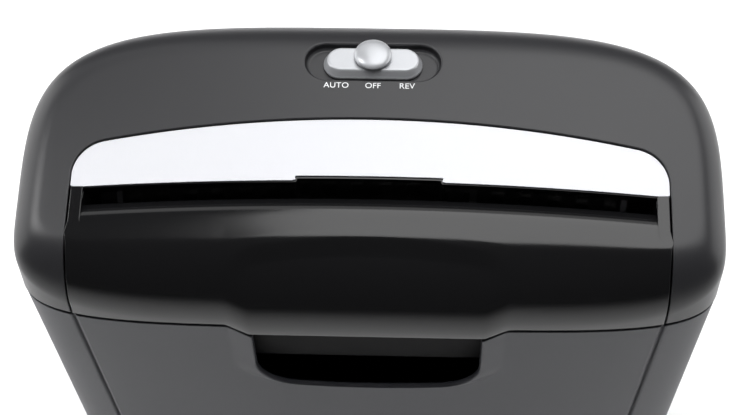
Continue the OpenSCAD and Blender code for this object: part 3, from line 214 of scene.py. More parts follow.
class Moulding:
    """A moulded wall in millimetres: its skin, its inside a wall's thickness behind, and its edges."""

    def __init__(self, wall):
        self.wall, self.points, self.normals, self.faces, self.skin = wall, [], [], [], []

    def add(self, p, n, behind=None):
        """A point of the skin; the point behind it, on the inside, takes the next number."""
        self.points += [p, p - n * self.wall if behind is None else behind]
        self.normals += [n, -n]
        return len(self.points) - 2

    def face(self, ring, lined=True):
        """A face of the skin; a lined one has its inside too."""
        ring = [i for k, i in enumerate(ring) if i != ring[k - 1]]
        if len(ring) < 3:
            return
        self.faces.append(ring)
        if lined:
            self.skin.append(ring)
            self.faces.append([i + 1 for i in reversed(ring)])

    def grid(self, p, wrap=False, keep=None, normal=None):
        """Skin over a grid of points; keep(p) gives how far a point lies inside the edge to cut at."""
        n = unit(np.cross(slopes(p, 1, wrap), slopes(p, 0, False))) if normal is None else normal
        rows, cols = p.shape[:2]
        room = np.ones((rows, cols)) if keep is None else keep(p)
        near = lambda r, c: [(r + i, (c + j) % cols) for i, j in ((0, 1), (0, -1), (1, 0), (-1, 0))
                             if 0 <= r + i < rows and (wrap or 0 <= c + j < cols)]
        # a point that lies close to the cut moves onto it, so that no sliver is left
        old_p, old_n, old = p, n, room
        p, n, room = p.copy(), n.copy(), room.copy()
        for r, c in np.argwhere(np.abs(old) < EDGE_REACH) if keep is not None else []:
            best = min(((old[r, c] / (old[r, c] - old[q]), q) for q in near(r, c)
                        if old[r, c] * old[q] < 0), default=None)
            if best and best[0] < SNAP_SHARE:
                t, q = best
                p[r, c] = old_p[r, c] * (1 - t) + old_p[q] * t
                n[r, c] = old_n[r, c] * (1 - t) + old_n[q] * t
                room[r, c] = 0
        index, cuts = -np.ones((rows, cols), int), {}

        def corner(k):
            if index[k] < 0:
                index[k] = self.add(p[k], unit(n[k]))
            return int(index[k])

        def cut(k, q):
            key = (min(k, q), max(k, q))
            if key not in cuts:
                (a, b), t = key, room[key[0]] / (room[key[0]] - room[key[1]])
                for _ in range(3):
                    here = p[a] * (1 - t) + p[b] * t
                    t = min(max(t + keep(here) / (room[a] - room[b]), 0), 1)
                cuts[key] = self.add(p[a] * (1 - t) + p[b] * t, unit(n[a] * (1 - t) + n[b] * t))
            return cuts[key]

        for r in range(rows - 1):
            for c in range(cols if wrap else cols - 1):
                d = (c + 1) % cols
                ring, keys = [], [(r, c), (r, d), (r + 1, d), (r + 1, c)]
                if all(room[k] < 0 for k in keys):
                    continue
                for k, q in zip(keys, keys[1:] + keys[:1]):
                    if room[k] >= 0:
                        ring.append(corner(k))
                    if room[k] * room[q] < 0:
                        ring.append(cut(k, q))
                if len(ring) > 2:
                    self.face(ring)

    def merge(self):
        """One number for each place, so that neighbouring grids share their edges and their insides."""
        seen, same = {}, []
        for i, p in enumerate(self.points):
            k = seen.setdefault(tuple(np.round(p, 3)), i)
            twin = same[-1] + 1 if i % 2 else i
            if twin < i - 1 and twin % 2 and self.normals[i] @ self.normals[twin] > 0.5:
                k = same[twin]
            same.append(k)
        return same

    def borders(self):
        """The merged numbers, and each side of the skin's faces by them, with its own two points."""
        same = self.merge()
        return same, {(same[i], same[j]): (i, j) for ring in self.skin
                      for i, j in zip(ring, ring[1:] + ring[:1])}

    def loops(self):
        """The skin's open edges, each a chain of point numbers with the skin on its left."""
        sides = self.borders()[1]
        onward = {i: (j, a) for (i, j), (a, b) in sides.items() if (j, i) not in sides and i != j}
        chains = []
        while onward:
            chain, here = [], next(iter(onward))
            while here in onward:
                here, a = onward.pop(here)
                chain.append(a)
            chains.append(chain)
        return chains

    def edge(self, loop, section, pick=None):
        """Carries a section round an open edge, and joins it to the inside; pick chooses by point."""
        p, n = (np.array([source[i] for i in loop]) for source in (self.points, self.normals))
        ahead, back = unit(np.roll(p, -1, 0) - p), unit(p - np.roll(p, 1, 0))
        way = unit(ahead + back)
        out = unit(np.cross(way, n))
        out *= np.minimum(1 / np.maximum((way * ahead).sum(1, keepdims=True), 0.1), 1.6)
        ring = list(loop)
        for k in range(len(section[0] if pick else section)):
            step = np.array([section[s][k] for s in pick]) if pick else np.array([section[k]] * len(p))
            turn = np.radians(step[:, 2:3])
            place = p + out * step[:, 0:1] - n * step[:, 1:2]
            facing = unit(out * np.sin(turn) + n * np.cos(turn))
            new = [self.add(a, b) for a, b in zip(place, facing)]
            self.strip(ring, new)
            ring = new
        self.strip(ring, [i + 1 for i in loop])

    def strip(self, upper, lower):
        """Faces between two closed rings of point numbers."""
        for k in range(len(upper)):
            j = (k + 1) % len(upper)
            self.face([upper[j], upper[k], lower[k], lower[j]], lined=False)

    def loft(self, rings):
        """A closed solid with crisp corners, drawn over rings of points of one length."""
        quads = [[low[k], low[k - 1], high[k - 1], high[k]] for low, high in zip(rings, rings[1:])
                 for k in range(len(low))]
        for ring in quads + [list(rings[0]), list(rings[-1])[::-1]]:
            n = facing_of(ring)
            self.face([self.add(p, n) for p in ring], lined=False)

    def finish_edges(self, r=0.3):
        """Rounds every open edge over to the inside."""
        for loop in self.loops():
            if len(loop) > 2:
                self.edge(loop, fillet(r) + [(r, self.wall, 120)])
        self.close_corners()

    def close_corners(self):
        """Joins the inside behind sharp corners, where two grids share an edge of the skin."""
        same, sides = self.borders()
        for (i, j), (a, b) in sides.items():
            if i < j and (j, i) in sides:
                d, c = sides[(j, i)]
                if same[a + 1] != same[c + 1] or same[b + 1] != same[d + 1]:
                    self.face([a + 1, b + 1, d + 1, c + 1], lined=False)

    def holes(self, faces):
        """The small openings left where three walls meet, each as a ring of points to close it."""
        sides = [side for ring in faces for side in zip(ring, ring[1:] + ring[:1])]
        known, onward, rings = set(sides), {}, []
        for i, j in sides:
            if (j, i) not in known:
                onward.setdefault(j, []).append(i)
        while onward:
            ring = [next(iter(onward))]
            while ring[-1] in onward:
                here = ring[-1]
                ahead = onward[here].pop()
                if not onward[here]:
                    del onward[here]
                if ahead in ring:
                    rings.append(ring[ring.index(ahead):])
                    ring = ring[:ring.index(ahead) + 1]
                else:
                    ring.append(ahead)
        return rings

    def build(self, name, material):
        """The finished mesh, its places merged and its facings kept corner by corner."""
        same, number, places, faces, facing = self.merge(), {}, [], [], []
        for ring in self.faces:
            ring = [i for k, i in enumerate(ring) if same[i] != same[ring[k - 1]]]
            if len(set(same[i] for i in ring)) < max(3, len(ring)):
                continue
            for i in ring:
                if same[i] not in number:
                    number[same[i]] = len(places)
                    places.append(np.asarray(self.points[i]) * MM)
            faces.append([number[same[i]] for i in ring])
            facing.append([self.normals[i] for i in ring])
        for ring in self.holes(faces):
            faces.append(ring)
            facing.append([facing_of([places[i] for i in ring])] * len(ring))
        mesh = bpy.data.meshes.new(name)
        mesh.from_pydata([tuple(p) for p in places], [], faces)
        mesh.polygons.foreach_set("use_smooth", [True] * len(mesh.polygons))
        mesh.normals_split_custom_set([tuple(n) for ring in facing for n in ring])
        mesh.materials.append(material)
        made = bpy.data.objects.new(name, mesh)
        bpy.context.scene.collection.objects.link(made)
        return made


def plan_y(c, depth, square):
    """How far out a superellipse plan reaches at the share c of its half width."""
    return depth * (1 - np.minimum(np.abs(c), 1) ** square) ** (1 / square)


def stops(start, *legs):
    """Columns or rows from a start on; each leg says where it ends and in how many even steps."""
    values = [start]
    for end, count in legs:
        values += list(np.linspace(values[-1], end, count + 1))[1:]
    return values


def bin_outline(z, inset):
    """One level of the bin: columns follow the grooves and the opening, then go round by angle."""
    drop = SEAM_Z - z
    w = HALF_W - inset - drop * TAPER_X
    f, b = HEAD_FRONT - inset - drop * TAPER_Y, HEAD_BACK - inset - drop * TAPER_Y
    groove = GROOVE_X - drop * TAPER_X
    x = np.array(bin_front) * groove
    front = np.stack([x, SLOT_Y - plan_y(x / w, f, FRONT_SQUARE), np.full_like(x, z)], -1)
    start = math.atan2((front[-1][1] - SLOT_Y) / f, front[-1][0] / w)
    turn = start + (math.pi - 2 * start) * np.array(bin_round)
    c, s = np.cos(turn), np.sin(turn)
    square = np.where(s < 0, FRONT_SQUARE, BACK_SQUARE)
    r = (np.abs(c) ** square + np.abs(s) ** square) ** (-1 / square)
    ux, uy = r * c, r * s
    flat = np.stack([w * ux, SLOT_Y + np.where(uy < 0, f, b) * uy, np.full_like(ux, z)], -1)
    return np.concatenate([front, flat])


side = stops(0.0, (0.34, 14), (0.49, 34), (0.985, 20), (0.9938, 1), (1.0062, 8), (1.045, 3))
bin_front = [-c for c in reversed(side[1:])] + side
half = stops(0.0, (0.06, 10), (0.16, 18), (0.34, 26), (0.5, 14))[1:]
bin_round = half + [1 - h for h in reversed(half[:-1])]


def hand_low(x):
    """Height of the opening's lower edge, which sags a little to the middle."""
    return HAND_Z - HAND_SAG * np.maximum(1 - (x / HAND_HALF) ** 2, 0)


def hand_share(x, z):
    """1 at the hand opening, falling to 0 across its margin, with softened creases."""
    qx, qz = np.maximum(np.abs(x) - HAND_HALF + HAND_R, 0), np.maximum(hand_low(x) + HAND_R - z, 0)
    rho = np.hypot(qx, qz) + 1e-6
    margin = (HAND_MARGIN * qx ** 2 + HAND_LOW * qz ** 2) / rho ** 2 + 1e-3
    return soft_step(np.minimum(1 - (rho - HAND_R) / margin, 3), 0.006)


def soft_step(v, ease):
    """0 below 0, 1 above 1 and straight between, with its two corners eased."""
    return (np.sqrt(v * v + ease) - np.sqrt((v - 1) ** 2 + ease) + 1) / 2


def bin_wall(z, inset):
    """The same level with the two grooves let in and the opening's margin standing out."""
    ring = bin_outline(z, inset)
    x, front = ring[:, 0], np.arange(len(ring)) < len(bin_front)
    share = np.where(front, hand_share(x, z), 0)
    groove = GROOVE_X - (SEAM_Z - z) * TAPER_X
    gap = np.minimum((np.abs(x) - groove) / GROOVE_R, 1) ** 2
    dent = np.where(front & (z > FOOT_R - 1), np.sqrt(np.maximum(1 - gap, 0)) * GROOVE_DEEP, 0)
    ring[:, 1] += dent - HAND_OUT * share
    return ring


def pad_under(x):
    """How far the handle pad of the head reaches down over the bin's front wall at x."""
    inside = PAD_R - np.maximum(np.abs(x) - PAD_HALF + PAD_R, 0)
    return PAD_DROP * soft_step(inside / PAD_MARGIN, 0.0025)


def opening_room(p):
    """Distance into the wall from the hand opening and from the rim, on the front only."""
    x, y, z = np.moveaxis(p, -1, 0)
    qx, qz = np.abs(x) - HAND_HALF + HAND_R, hand_low(x) + HAND_R - z
    opening = np.where(qz > 0, np.hypot(np.maximum(qx, 0), qz) - HAND_R, np.abs(x) - HAND_HALF)
    rim = BIN_TOP - EDGE_R - pad_under(x) - z
    front = (y < SLOT_Y) & (np.abs(x) < GROOVE_X)
    return np.where(front, np.minimum(opening - EDGE_R, rim), BIN_TOP - EDGE_R - z)


foot = [(BIN_INSET + FOOT_R * (1 - math.sin(a)), FOOT_R * (1 - math.cos(a)))
        for a in np.linspace(0, math.pi / 2, 9)]
levels = stops(FOOT_R, (196, 26), (202, 6), (220, 26), (256, 18), (BIN_TOP - EDGE_R, 12))
rings = [bin_outline(0, SOLE_IN), bin_outline(0, SOLE_IN - 0.6)]
rings[0][:, 2] = SOLE_Z
rings += [bin_wall(z, inset) for inset, z in foot[:-1]]
rings += [bin_wall(z, BIN_INSET) for z in levels + [BIN_TOP + EDGE_R]]
middle = np.array([0, SLOT_Y + (HEAD_BACK - HEAD_FRONT) / 2, SOLE_Z])
sole = [middle + (rings[0] - middle) * s for s in (0.01, 0.3, 0.65)]
bin_shell = Moulding(BIN_WALL)
bin_shell.grid(np.array(sole + rings), wrap=True, keep=opening_room)
# the sole is closed at its middle, where the grid's first row leaves a small round hole
heart = next(loop for loop in bin_shell.loops() if bin_shell.points[loop[0]][2] < 2 * SOLE_Z)
centre = bin_shell.add(middle, np.array([0, 0, -1.0]))
for i, j in zip(heart, heart[1:] + heart[:1]):
    bin_shell.face([j, i, centre])
bin_shell.finish_edges(EDGE_R)
# the lip ring inside the rim, open at the front, and the tab for the safety switch
lip = np.array([bin_outline(z, inset) for z, inset in (
    (SEAM_Z - 8, BIN_INSET + BIN_WALL - 0.4), (LIP_TOP - 0.4, LIP_OUT), (LIP_TOP, LIP_OUT + 0.4),
    (LIP_TOP, LIP_IN - 0.4), (LIP_TOP - 0.4, LIP_IN), (SEAM_Z - 5, LIP_IN),
    (SEAM_Z - 8, BIN_INSET + BIN_WALL + 0.05))])
round_back = np.roll(np.arange(lip.shape[1]), -len(bin_front))
round_back = [c for c in round_back if abs(lip[0, c, 0]) > PAD_HALF + 1.5 or lip[0, c, 1] > SLOT_Y]
bin_shell.loft([lip[:, c] for c in round_back])
tab_x, tab_y = -HALF_W + (LIP_OUT + LIP_IN) / 2, SLOT_Y - 6
tab_round = [(TAB_HALF, TAB_TOP - 2.2), (TAB_HALF - 0.6, TAB_TOP - 0.8), (TAB_HALF - 2, TAB_TOP)]
tab_side = [(-TAB_HALF, LIP_TOP - 2), (TAB_HALF, LIP_TOP - 2)] + tab_round
tab_side += [(-y, z) for y, z in tab_round[::-1]]
bin_shell.loft([np.array([(tab_x + x * TAB_THICK / 2, tab_y + y * k,
                           z - (1 - k) * TAB_HALF * (z > LIP_TOP)) for y, z in tab_side])
                for x, k in ((1, 0.95), (0.7, 1), (-0.7, 1), (-1, 0.95))])


def moulded(name, dark, bright, roughness, grain=2600, depth=0.00003, flow=14, **given):
    """Moulded plastic: the tool's fine spark grain, over slow clouds where the melt flowed."""
    made = Finish(name, **given)
    spark, cloud = made.noise(grain, 3), made.noise(flow, 3)
    return made.set(Base_Color=made.blend(cloud, (*dark, 1), (*bright, 1)),
                    Roughness=roughness + 0.1 * spark, Normal=made.bump(spark, depth))


bin_blue_black = moulded("bin_plastic", (0.030, 0.031, 0.038), (0.038, 0.039, 0.048), 0.42)
bin_piece = bin_shell.build("waste_bin", bin_blue_black)
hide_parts("bin")
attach(bin_piece, "bin")

# ---- Base housing ----
# The black tray that closes the head from below and hangs into the bin: one grained
# moulding, screwed to the cover. A rubber inlet in the cover's back takes the mains cord.
def dress(finish, *nodes):
    """Gives a finish to pieces of the construction whose shape already is the real one."""
    for node in nodes:
        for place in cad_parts[node].material_slots:
            place.material = finish


tray_black = moulded("tray_plastic", (0.003, 0.003, 0.0032), (0.006, 0.006, 0.0065), 0.6, 1500, 0.00005,
                     Specular_IOR_Level=0.12)
rubber = Finish("inlet_rubber")
bloom, nap = rubber.noise(70, 3), rubber.noise(3000, 3)
inlet_rubber = rubber.set(
    Base_Color=rubber.blend(bloom, (0.012, 0.012, 0.012, 1), (0.03, 0.03, 0.029, 1)),
    Roughness=0.66 + 0.18 * bloom, Normal=rubber.bump(nap, 0.00004))
dress(tray_black, "base_housing")
dress(inlet_rubber, "cord_inlet")

# ---- Cutter block ----
# Two phosphated steel side plates on four turned tie rods carry the two cutter shafts in
# sintered bronze bushes. Hardened discs alternate with moulded spacers, and combs of
# acetal strip the paper off between them.
FRONT_AXIS, REAR_AXIS = (-0.03725, 0.250), (-0.00625, 0.250)


def metal(name, dark, bright, roughness, marks=(1, 1, 1), scale=700, depth=0.000006, stain=45):
    """Bare metal: tool marks drawn out one way, over a slow stain."""
    made = Finish(name, Metallic=1.0)
    scratch, cloudy = made.noise(scale, 3, marks), made.noise(stain, 3)
    return made.set(Base_Color=made.blend(cloudy, (*dark, 1), (*bright, 1)),
                    Roughness=roughness + 0.12 * scratch, Normal=made.bump(scratch, depth))


def ring_marks(made, axis, pitch):
    """Fine rings round an axis along X, as a grinding wheel or a lathe leaves them."""
    apart = made.node("ShaderNodeSeparateXYZ", {}, {0: made.place()})
    y = Value(made, apart.socket.node.outputs[1]) - axis[0]
    z = Value(made, apart.socket.node.outputs[2]) - axis[1]
    reach = (y * y + z * z) ** 0.5
    return made.node("ShaderNodeMath", {"operation": "SINE"}, {0: reach * (2 * math.pi / pitch)})


def ground(name, axis, dark, bright, roughness, pitch=0.00035):
    """Ground steel with a film of oil: rings round its axis, darker where the oil gathers."""
    made = Finish(name, Metallic=1.0, Coat_Roughness=0.1)
    rings, oil = ring_marks(made, axis, pitch), made.noise(55, 4)
    film = made.node("ShaderNodeMapRange", {}, {0: oil, 1: 0.4, 2: 0.62})
    return made.set(Base_Color=made.blend(film, (*dark, 1), (*bright, 1)),
                    Roughness=roughness + 0.05 * rings, Coat_Weight=0.5 - 0.35 * film,
                    Normal=made.bump(rings, 0.000002))


plate_steel = Finish("frame_steel", Metallic=1.0)
spangle = plate_steel.node("ShaderNodeTexVoronoi", {}, {"Vector": plate_steel.place(), "Scale": 260.0})
rolled = plate_steel.noise(500, 2, (1, 0.06, 1))
side_plate_steel = plate_steel.set(
    Base_Color=plate_steel.blend(spangle, (0.10, 0.10, 0.11, 1), (0.17, 0.17, 0.18, 1)),
    Roughness=0.3 + 0.12 * rolled + 0.1 * spangle, Normal=plate_steel.bump(rolled, 0.000008))
dress(side_plate_steel, "left_side_plate", "right_side_plate")
rod_steel = metal("rod_steel", (0.46, 0.46, 0.47), (0.62, 0.62, 0.63), 0.22, (0.15, 1, 1))
bronze = metal("sintered_bronze", (0.34, 0.2, 0.09), (0.52, 0.33, 0.16), 0.42, scale=2600, depth=0.00002)
dress(rod_steel, "tie_rods")
dress(bronze, "shaft_bushes")
for place, axis in (("front", FRONT_AXIS), ("rear", REAR_AXIS)):
    dress(ground(place + "_shaft_steel", axis, (0.2, 0.19, 0.18), (0.42, 0.42, 0.43), 0.28, 0.0006),
          place + "_cutter_shaft")
    dress(ground(place + "_disc_steel", axis, (0.13, 0.125, 0.12), (0.33, 0.33, 0.34), 0.26),
          place + "_cutter_discs")
dress(moulded("spacer_plastic", (0.010, 0.010, 0.011), (0.02, 0.02, 0.021), 0.46, 1800, 0.00002),
      "front_spacers", "rear_spacers")
dress(moulded("stripper_plastic", (0.006, 0.006, 0.0065), (0.012, 0.012, 0.013), 0.5, 1800, 0.00002),
      "front_stripper", "rear_stripper")

# ---- Gear train ----
# Sintered steel gears on the shafts, two moulded nylon reduction gears on pins riveted in
# the side plate, all greased, under a cover of black plastic. Spring clips hold the gears
# on their shafts.
GREASE = (0.42, 0.33, 0.14, 1)


def greased(made, colour, thin=0.52, thick=0.68):
    """Grease gathered in patches over a colour, and how much lies at a place."""
    smear = made.node("ShaderNodeMapRange", {}, {0: made.noise(85, 4), 1: thin, 2: thick})
    return made.blend(smear, colour, GREASE), smear


sinter = Finish("gear_steel")
pores = sinter.noise(3400, 3)
bare = sinter.blend(pores, (0.2, 0.2, 0.205, 1), (0.34, 0.34, 0.35, 1))
colour, smear = greased(sinter, bare)
dress(sinter.set(Base_Color=colour, Metallic=1 - smear, Roughness=0.46 - 0.2 * smear,
                 Normal=sinter.bump(pores, 0.00003)),
      "front_timing_gear", "rear_timing_gear", "drive_gear")
nylon = Finish("gear_nylon")
flow, skin = nylon.noise(60, 2), nylon.noise(1500, 2)
colour, smear = greased(nylon, nylon.blend(flow, (0.62, 0.6, 0.52, 1), (0.72, 0.71, 0.64, 1)))
dress(nylon.set(Base_Color=colour, Roughness=0.4 - 0.2 * smear, Normal=nylon.bump(skin, 0.00001)),
      "first_gear", "second_gear")
dress(rod_steel, "gear_pins")
dress(metal("spring_steel", (0.045, 0.045, 0.055), (0.1, 0.1, 0.115), 0.3, (1, 1, 1), 1200),
      "front_clips", "rear_clips")
dress(tray_black, "gear_cover")

# ---- Motor ----
# A small mains motor: a drawn and plated can with two ferrite magnets glued in, a wound
# and varnished armature with its commutator, carbon brushes in a black end cap, and a
# brass pinion pressed on the shaft. A white thermal cut-out is clipped on top of the can.
MOTOR_AXIS = (0.03064, 0.22590)

dress(metal("can_steel", (0.42, 0.43, 0.45), (0.58, 0.59, 0.6), 0.27, (0.08, 1, 1), 800), "motor_can")
ferrite = Finish("ferrite")
grit = ferrite.noise(3800, 4)
dress(ferrite.set(Base_Color=ferrite.blend(grit, (0.03, 0.03, 0.032, 1), (0.065, 0.063, 0.062, 1)),
                  Roughness=0.52 + 0.2 * grit, Normal=ferrite.bump(grit, 0.00004)), "motor_magnets")
wire = Finish("varnished_wire", Coat_Roughness=0.12)
turns_of_wire = wire.node("ShaderNodeTexWave", {"wave_type": "BANDS", "bands_direction": "DIAGONAL"},
                          {"Vector": wire.place(), "Scale": 420.0, "Distortion": 1.5, "Detail": 1.0})
dress(wire.set(Base_Color=wire.blend(turns_of_wire, (0.2, 0.05, 0.014, 1), (0.56, 0.22, 0.075, 1)),
               Metallic=0.7, Roughness=0.3, Coat_Weight=0.4 + 0.4 * turns_of_wire,
               Normal=wire.bump(turns_of_wire, 0.00008)), "armature")
dress(rod_steel, "motor_shaft")
turned_copper = ground("turned_copper", MOTOR_AXIS, (0.3, 0.12, 0.05), (0.62, 0.32, 0.18), 0.3, 0.0005)
pinion_brass = ground("pinion_brass", MOTOR_AXIS, (0.4, 0.28, 0.1), (0.66, 0.5, 0.22), 0.28, 0.0005)
dress(turned_copper, "commutator")
dress(pinion_brass, "motor_pinion")
carbon = Finish("brush_carbon", Metallic=0.2)
dust = carbon.noise(1800, 3, (0.2, 1, 1))
dress(carbon.set(Base_Color=carbon.blend(dust, (0.015, 0.015, 0.016, 1), (0.05, 0.05, 0.052, 1)),
                 Roughness=0.45 + 0.25 * dust, Normal=carbon.bump(dust, 0.00003)), "motor_brushes")
part_black = moulded("part_plastic", (0.011, 0.011, 0.012), (0.02, 0.02, 0.021), 0.36, 2000, 0.00002)
acetal = moulded("acetal", (0.62, 0.6, 0.54), (0.72, 0.71, 0.66), 0.34, 1600, 0.00001)
dress(part_black, "motor_end_cap")
dress(bronze, "motor_bushes")
dress(acetal, "thermal_cutout")

# ---- Electrics ----
# A small board in the base housing with the relay, rectifier, capacitor and fuse; the mode
# switch under the dish; the paper sensor behind the slot; and the safety switch, whose red
# plunger is pressed by the bin's tab.
board = Finish("board_green", Coat_Roughness=0.15)
lanes = board.node("ShaderNodeTexBrick", {"offset": 0.37},
                   {"Vector": board.place(), "Scale": 130.0, "Mortar Size": 0.06,
                    "Color1": (0.02, 0.17, 0.05, 1), "Color2": (0.012, 0.11, 0.035, 1),
                    "Mortar": (0.03, 0.26, 0.08, 1)})
weave = board.noise(1400, 2)
dress(board.set(Base_Color=lanes, Roughness=0.28 + 0.1 * weave, Coat_Weight=0.3,
                Normal=board.bump(weave, 0.000008)), "circuit_board")
dress(moulded("relay_blue", (0.012, 0.06, 0.24), (0.02, 0.085, 0.31), 0.3, 1800, 0.00001), "relay")
sleeve = Finish("foil_sleeve", Coat_Roughness=0.08)
shrink = sleeve.noise(260, 3, (1, 1, 0.15))
dress(sleeve.set(Base_Color=sleeve.blend(shrink, (0.015, 0.02, 0.06, 1), (0.03, 0.036, 0.1, 1)),
                 Roughness=0.24 + 0.12 * shrink, Coat_Weight=0.5, Normal=sleeve.bump(shrink, 0.00005)),
      "capacitor")
ceramic = Finish("fuse_ceramic", Coat_Roughness=0.05)
glaze = ceramic.noise(120, 3)
dress(ceramic.set(Base_Color=ceramic.blend(glaze, (0.66, 0.65, 0.6, 1), (0.76, 0.75, 0.71, 1)),
                  Roughness=0.25 + 0.15 * glaze, Coat_Weight=0.4, Normal=ceramic.bump(glaze, 0.00002)),
      "fuse_holder")
dress(part_black, "rectifier", "mode_switch", "sensor_switch", "sensor_lever", "interlock_switch")
dress(acetal, "switch_carriage")
dress(moulded("plunger_red", (0.4, 0.012, 0.01), (0.5, 0.02, 0.015), 0.32, 1600, 0.00001),
      "interlock_plunger")

# ---- Front panel ----
# The glossy black front of the head: it rolls over from the seam up to a crest, carries the
# grip pad, and dips as a rounded lip into the paper slot. A sunk field behind the slot
# holds the label, and walls under it guide the paper.
SIDE_R, BACK_R, HEAD_SKIRT = 13.6, 31.0, 38.0
TOP_SLOPE, TOP_BOW = math.radians(10.5), 610.0
FRONT_R = HEAD_SKIRT - math.tan(TOP_SLOPE) * HEAD_FRONT - 0.9
COVER_WALL, SEAM_GAP = 2.4, 0.8
PANEL_HALF, ARCH_H, ARCH_R, SHOULDER_R = 128.5, 34.8, 534.0, 17.0
LABEL_STEP, LABEL_T, LABEL_GAP = 0.8, 0.8, 0.3
TROUGH_HALF, SLOT_W, TROUGH_R, GUIDE_DEPTH = 122.5, 5.0, 13.0, 28.0
CARD_HALF, CARD_DEEP, CARD_LEDGE = 31.7, 2.4, 0.7
SLOT_BOW, RIM_R = 4.9, 0.4
PAD_TOP, PAD_BOW, PAD_STEP, PAD_OUT = 21.2, 0.0016, 3.6, 2.4


def top_z(y):
    """Height of the head's top at y: a slope, bowed behind the slot."""
    d = y - SLOT_Y
    return SLOT_Z - 0.4 + math.tan(TOP_SLOPE) * d - np.where(d > 0, d * d / (2 * TOP_BOW), 0)


def roll_radius(s):
    """Radius of the head's rolled edge by plan direction: 1 is the back, 0 the side, -1 the front."""
    square = np.where(s < 0, FRONT_SQUARE, BACK_SQUARE)
    return SIDE_R + (np.where(s < 0, FRONT_R, BACK_R) - SIDE_R) * np.abs(s) ** square


def head_skin(ux, uy, a):
    """Point of the head's skin: direction (ux, uy) on the plan, rolled over by the angle a."""
    r = roll_radius(uy)
    k = r * (1 - np.cos(a))
    x = (HALF_W - k) * ux
    y = SLOT_Y + (np.where(uy < 0, HEAD_FRONT, HEAD_BACK) - k) * uy
    return np.stack(np.broadcast_arrays(x, y, top_z(y) - r * (1 - np.sin(a))), -1)


def front_skin(x, a):
    """The same skin on the front, by x: the plan direction is found in a few passes."""
    c = x / HALF_W
    for _ in range(3):
        r = roll_radius(-plan_y(c, 1, FRONT_SQUARE))
        c = x / (HALF_W - r * (1 - np.cos(a)))
    return head_skin(c, -plan_y(c, 1, FRONT_SQUARE), a)


def pad_rim(x):
    """How far up the roll the pad's bowed upper rim lies at x."""
    y = PAD_TOP + PAD_BOW * np.minimum(np.abs(x), PAD_HALF) ** 2
    return FRONT_R * np.arccos(1 - (HEAD_FRONT - y) / FRONT_R)


def pad_share(x, v):
    """1 on the pad, 0 off it, with a bevel between."""
    dx, dv = np.maximum(np.abs(x) - PAD_HALF + PAD_R, 0), np.maximum(v - pad_rim(x) + PAD_R, 0)
    rho = np.hypot(dx, dv) + 1e-9
    margin = (PAD_MARGIN * dx ** 2 + PAD_STEP * dv ** 2) / rho ** 2 + 1e-9
    share = soft_step(np.minimum((PAD_R - rho) / np.maximum(margin, 1e-3), 3), 0.004)
    return np.where(rho < 1e-6, 1, share)


CREST_Y = FRONT_R - HEAD_FRONT
CREST_Z = math.tan(TOP_SLOPE) * CREST_Y - 0.4
LIP_MID = np.array([CREST_Y + TROUGH_R * math.sin(TOP_SLOPE), CREST_Z - TROUGH_R * math.cos(TOP_SLOPE)])
LIP_END = math.asin((-SLOT_W - LIP_MID[0]) / TROUGH_R)
ARCH_END = FRONT_R * math.pi / 2
lip_turns = np.linspace(-TOP_SLOPE, LIP_END, 17)[1:]
lip_line = [(LIP_MID[0] + TROUGH_R * math.sin(a), LIP_MID[1] + TROUGH_R * math.cos(a)) for a in lip_turns]
guide_line = [(-SLOT_W, z) for z in stops(lip_line[-1][1], (-GUIDE_DEPTH, 6))[1:]]
GUIDE_BOW = [0.85, 0.7, 0.5, 0.3, 0.15, 0]

pad_side = stops(0.0, (45, 16), (51, 10), (PAD_HALF, 12), (65, 5), (TROUGH_HALF, 18))
panel_columns = np.array([-x for x in reversed(pad_side[1:])] + pad_side)
PANEL_EDGE = PANEL_HALF - SEAM_GAP
rise = stops(0.0, (0.72, 16), (0.87, 8), (1.02, 16), (1.1, 3))


def bow(x):
    """The slot's edges lie on a shallow arc: how far back they are at x."""
    return SLOT_BOW * np.maximum(1 - (x / TROUGH_HALF) ** 2, 0)


def bowed(p, share):
    """Moves points back along the top's slope with the slot's arc."""
    shift = bow(p[..., 0]) * share
    return p + np.stack([0 * shift, shift, math.tan(TOP_SLOPE) * shift], -1)


def panel_front(x):
    """Rows of the front at the columns x, from the seam up to the crest."""
    rim, top, rows = pad_rim(x), rise[-1], []
    for f in rise[:-1] + list(np.linspace(top, 2, 12)):
        share = max(f - top, 0) / (2 - top)
        v = min(f, top) * rim + (ARCH_END - top * rim) * share
        pad = pad_share(x, v)[:, None] * np.array([0, PAD_OUT, PAD_DROP])
        rows.append(bowed(front_skin(x, v / FRONT_R), share ** 1.5) - pad)
    start = rows[0].copy()
    start[:, 2] = SEAM_Z + 0.3 - PAD_DROP * pad_share(x, np.zeros_like(x))
    return [start] + rows


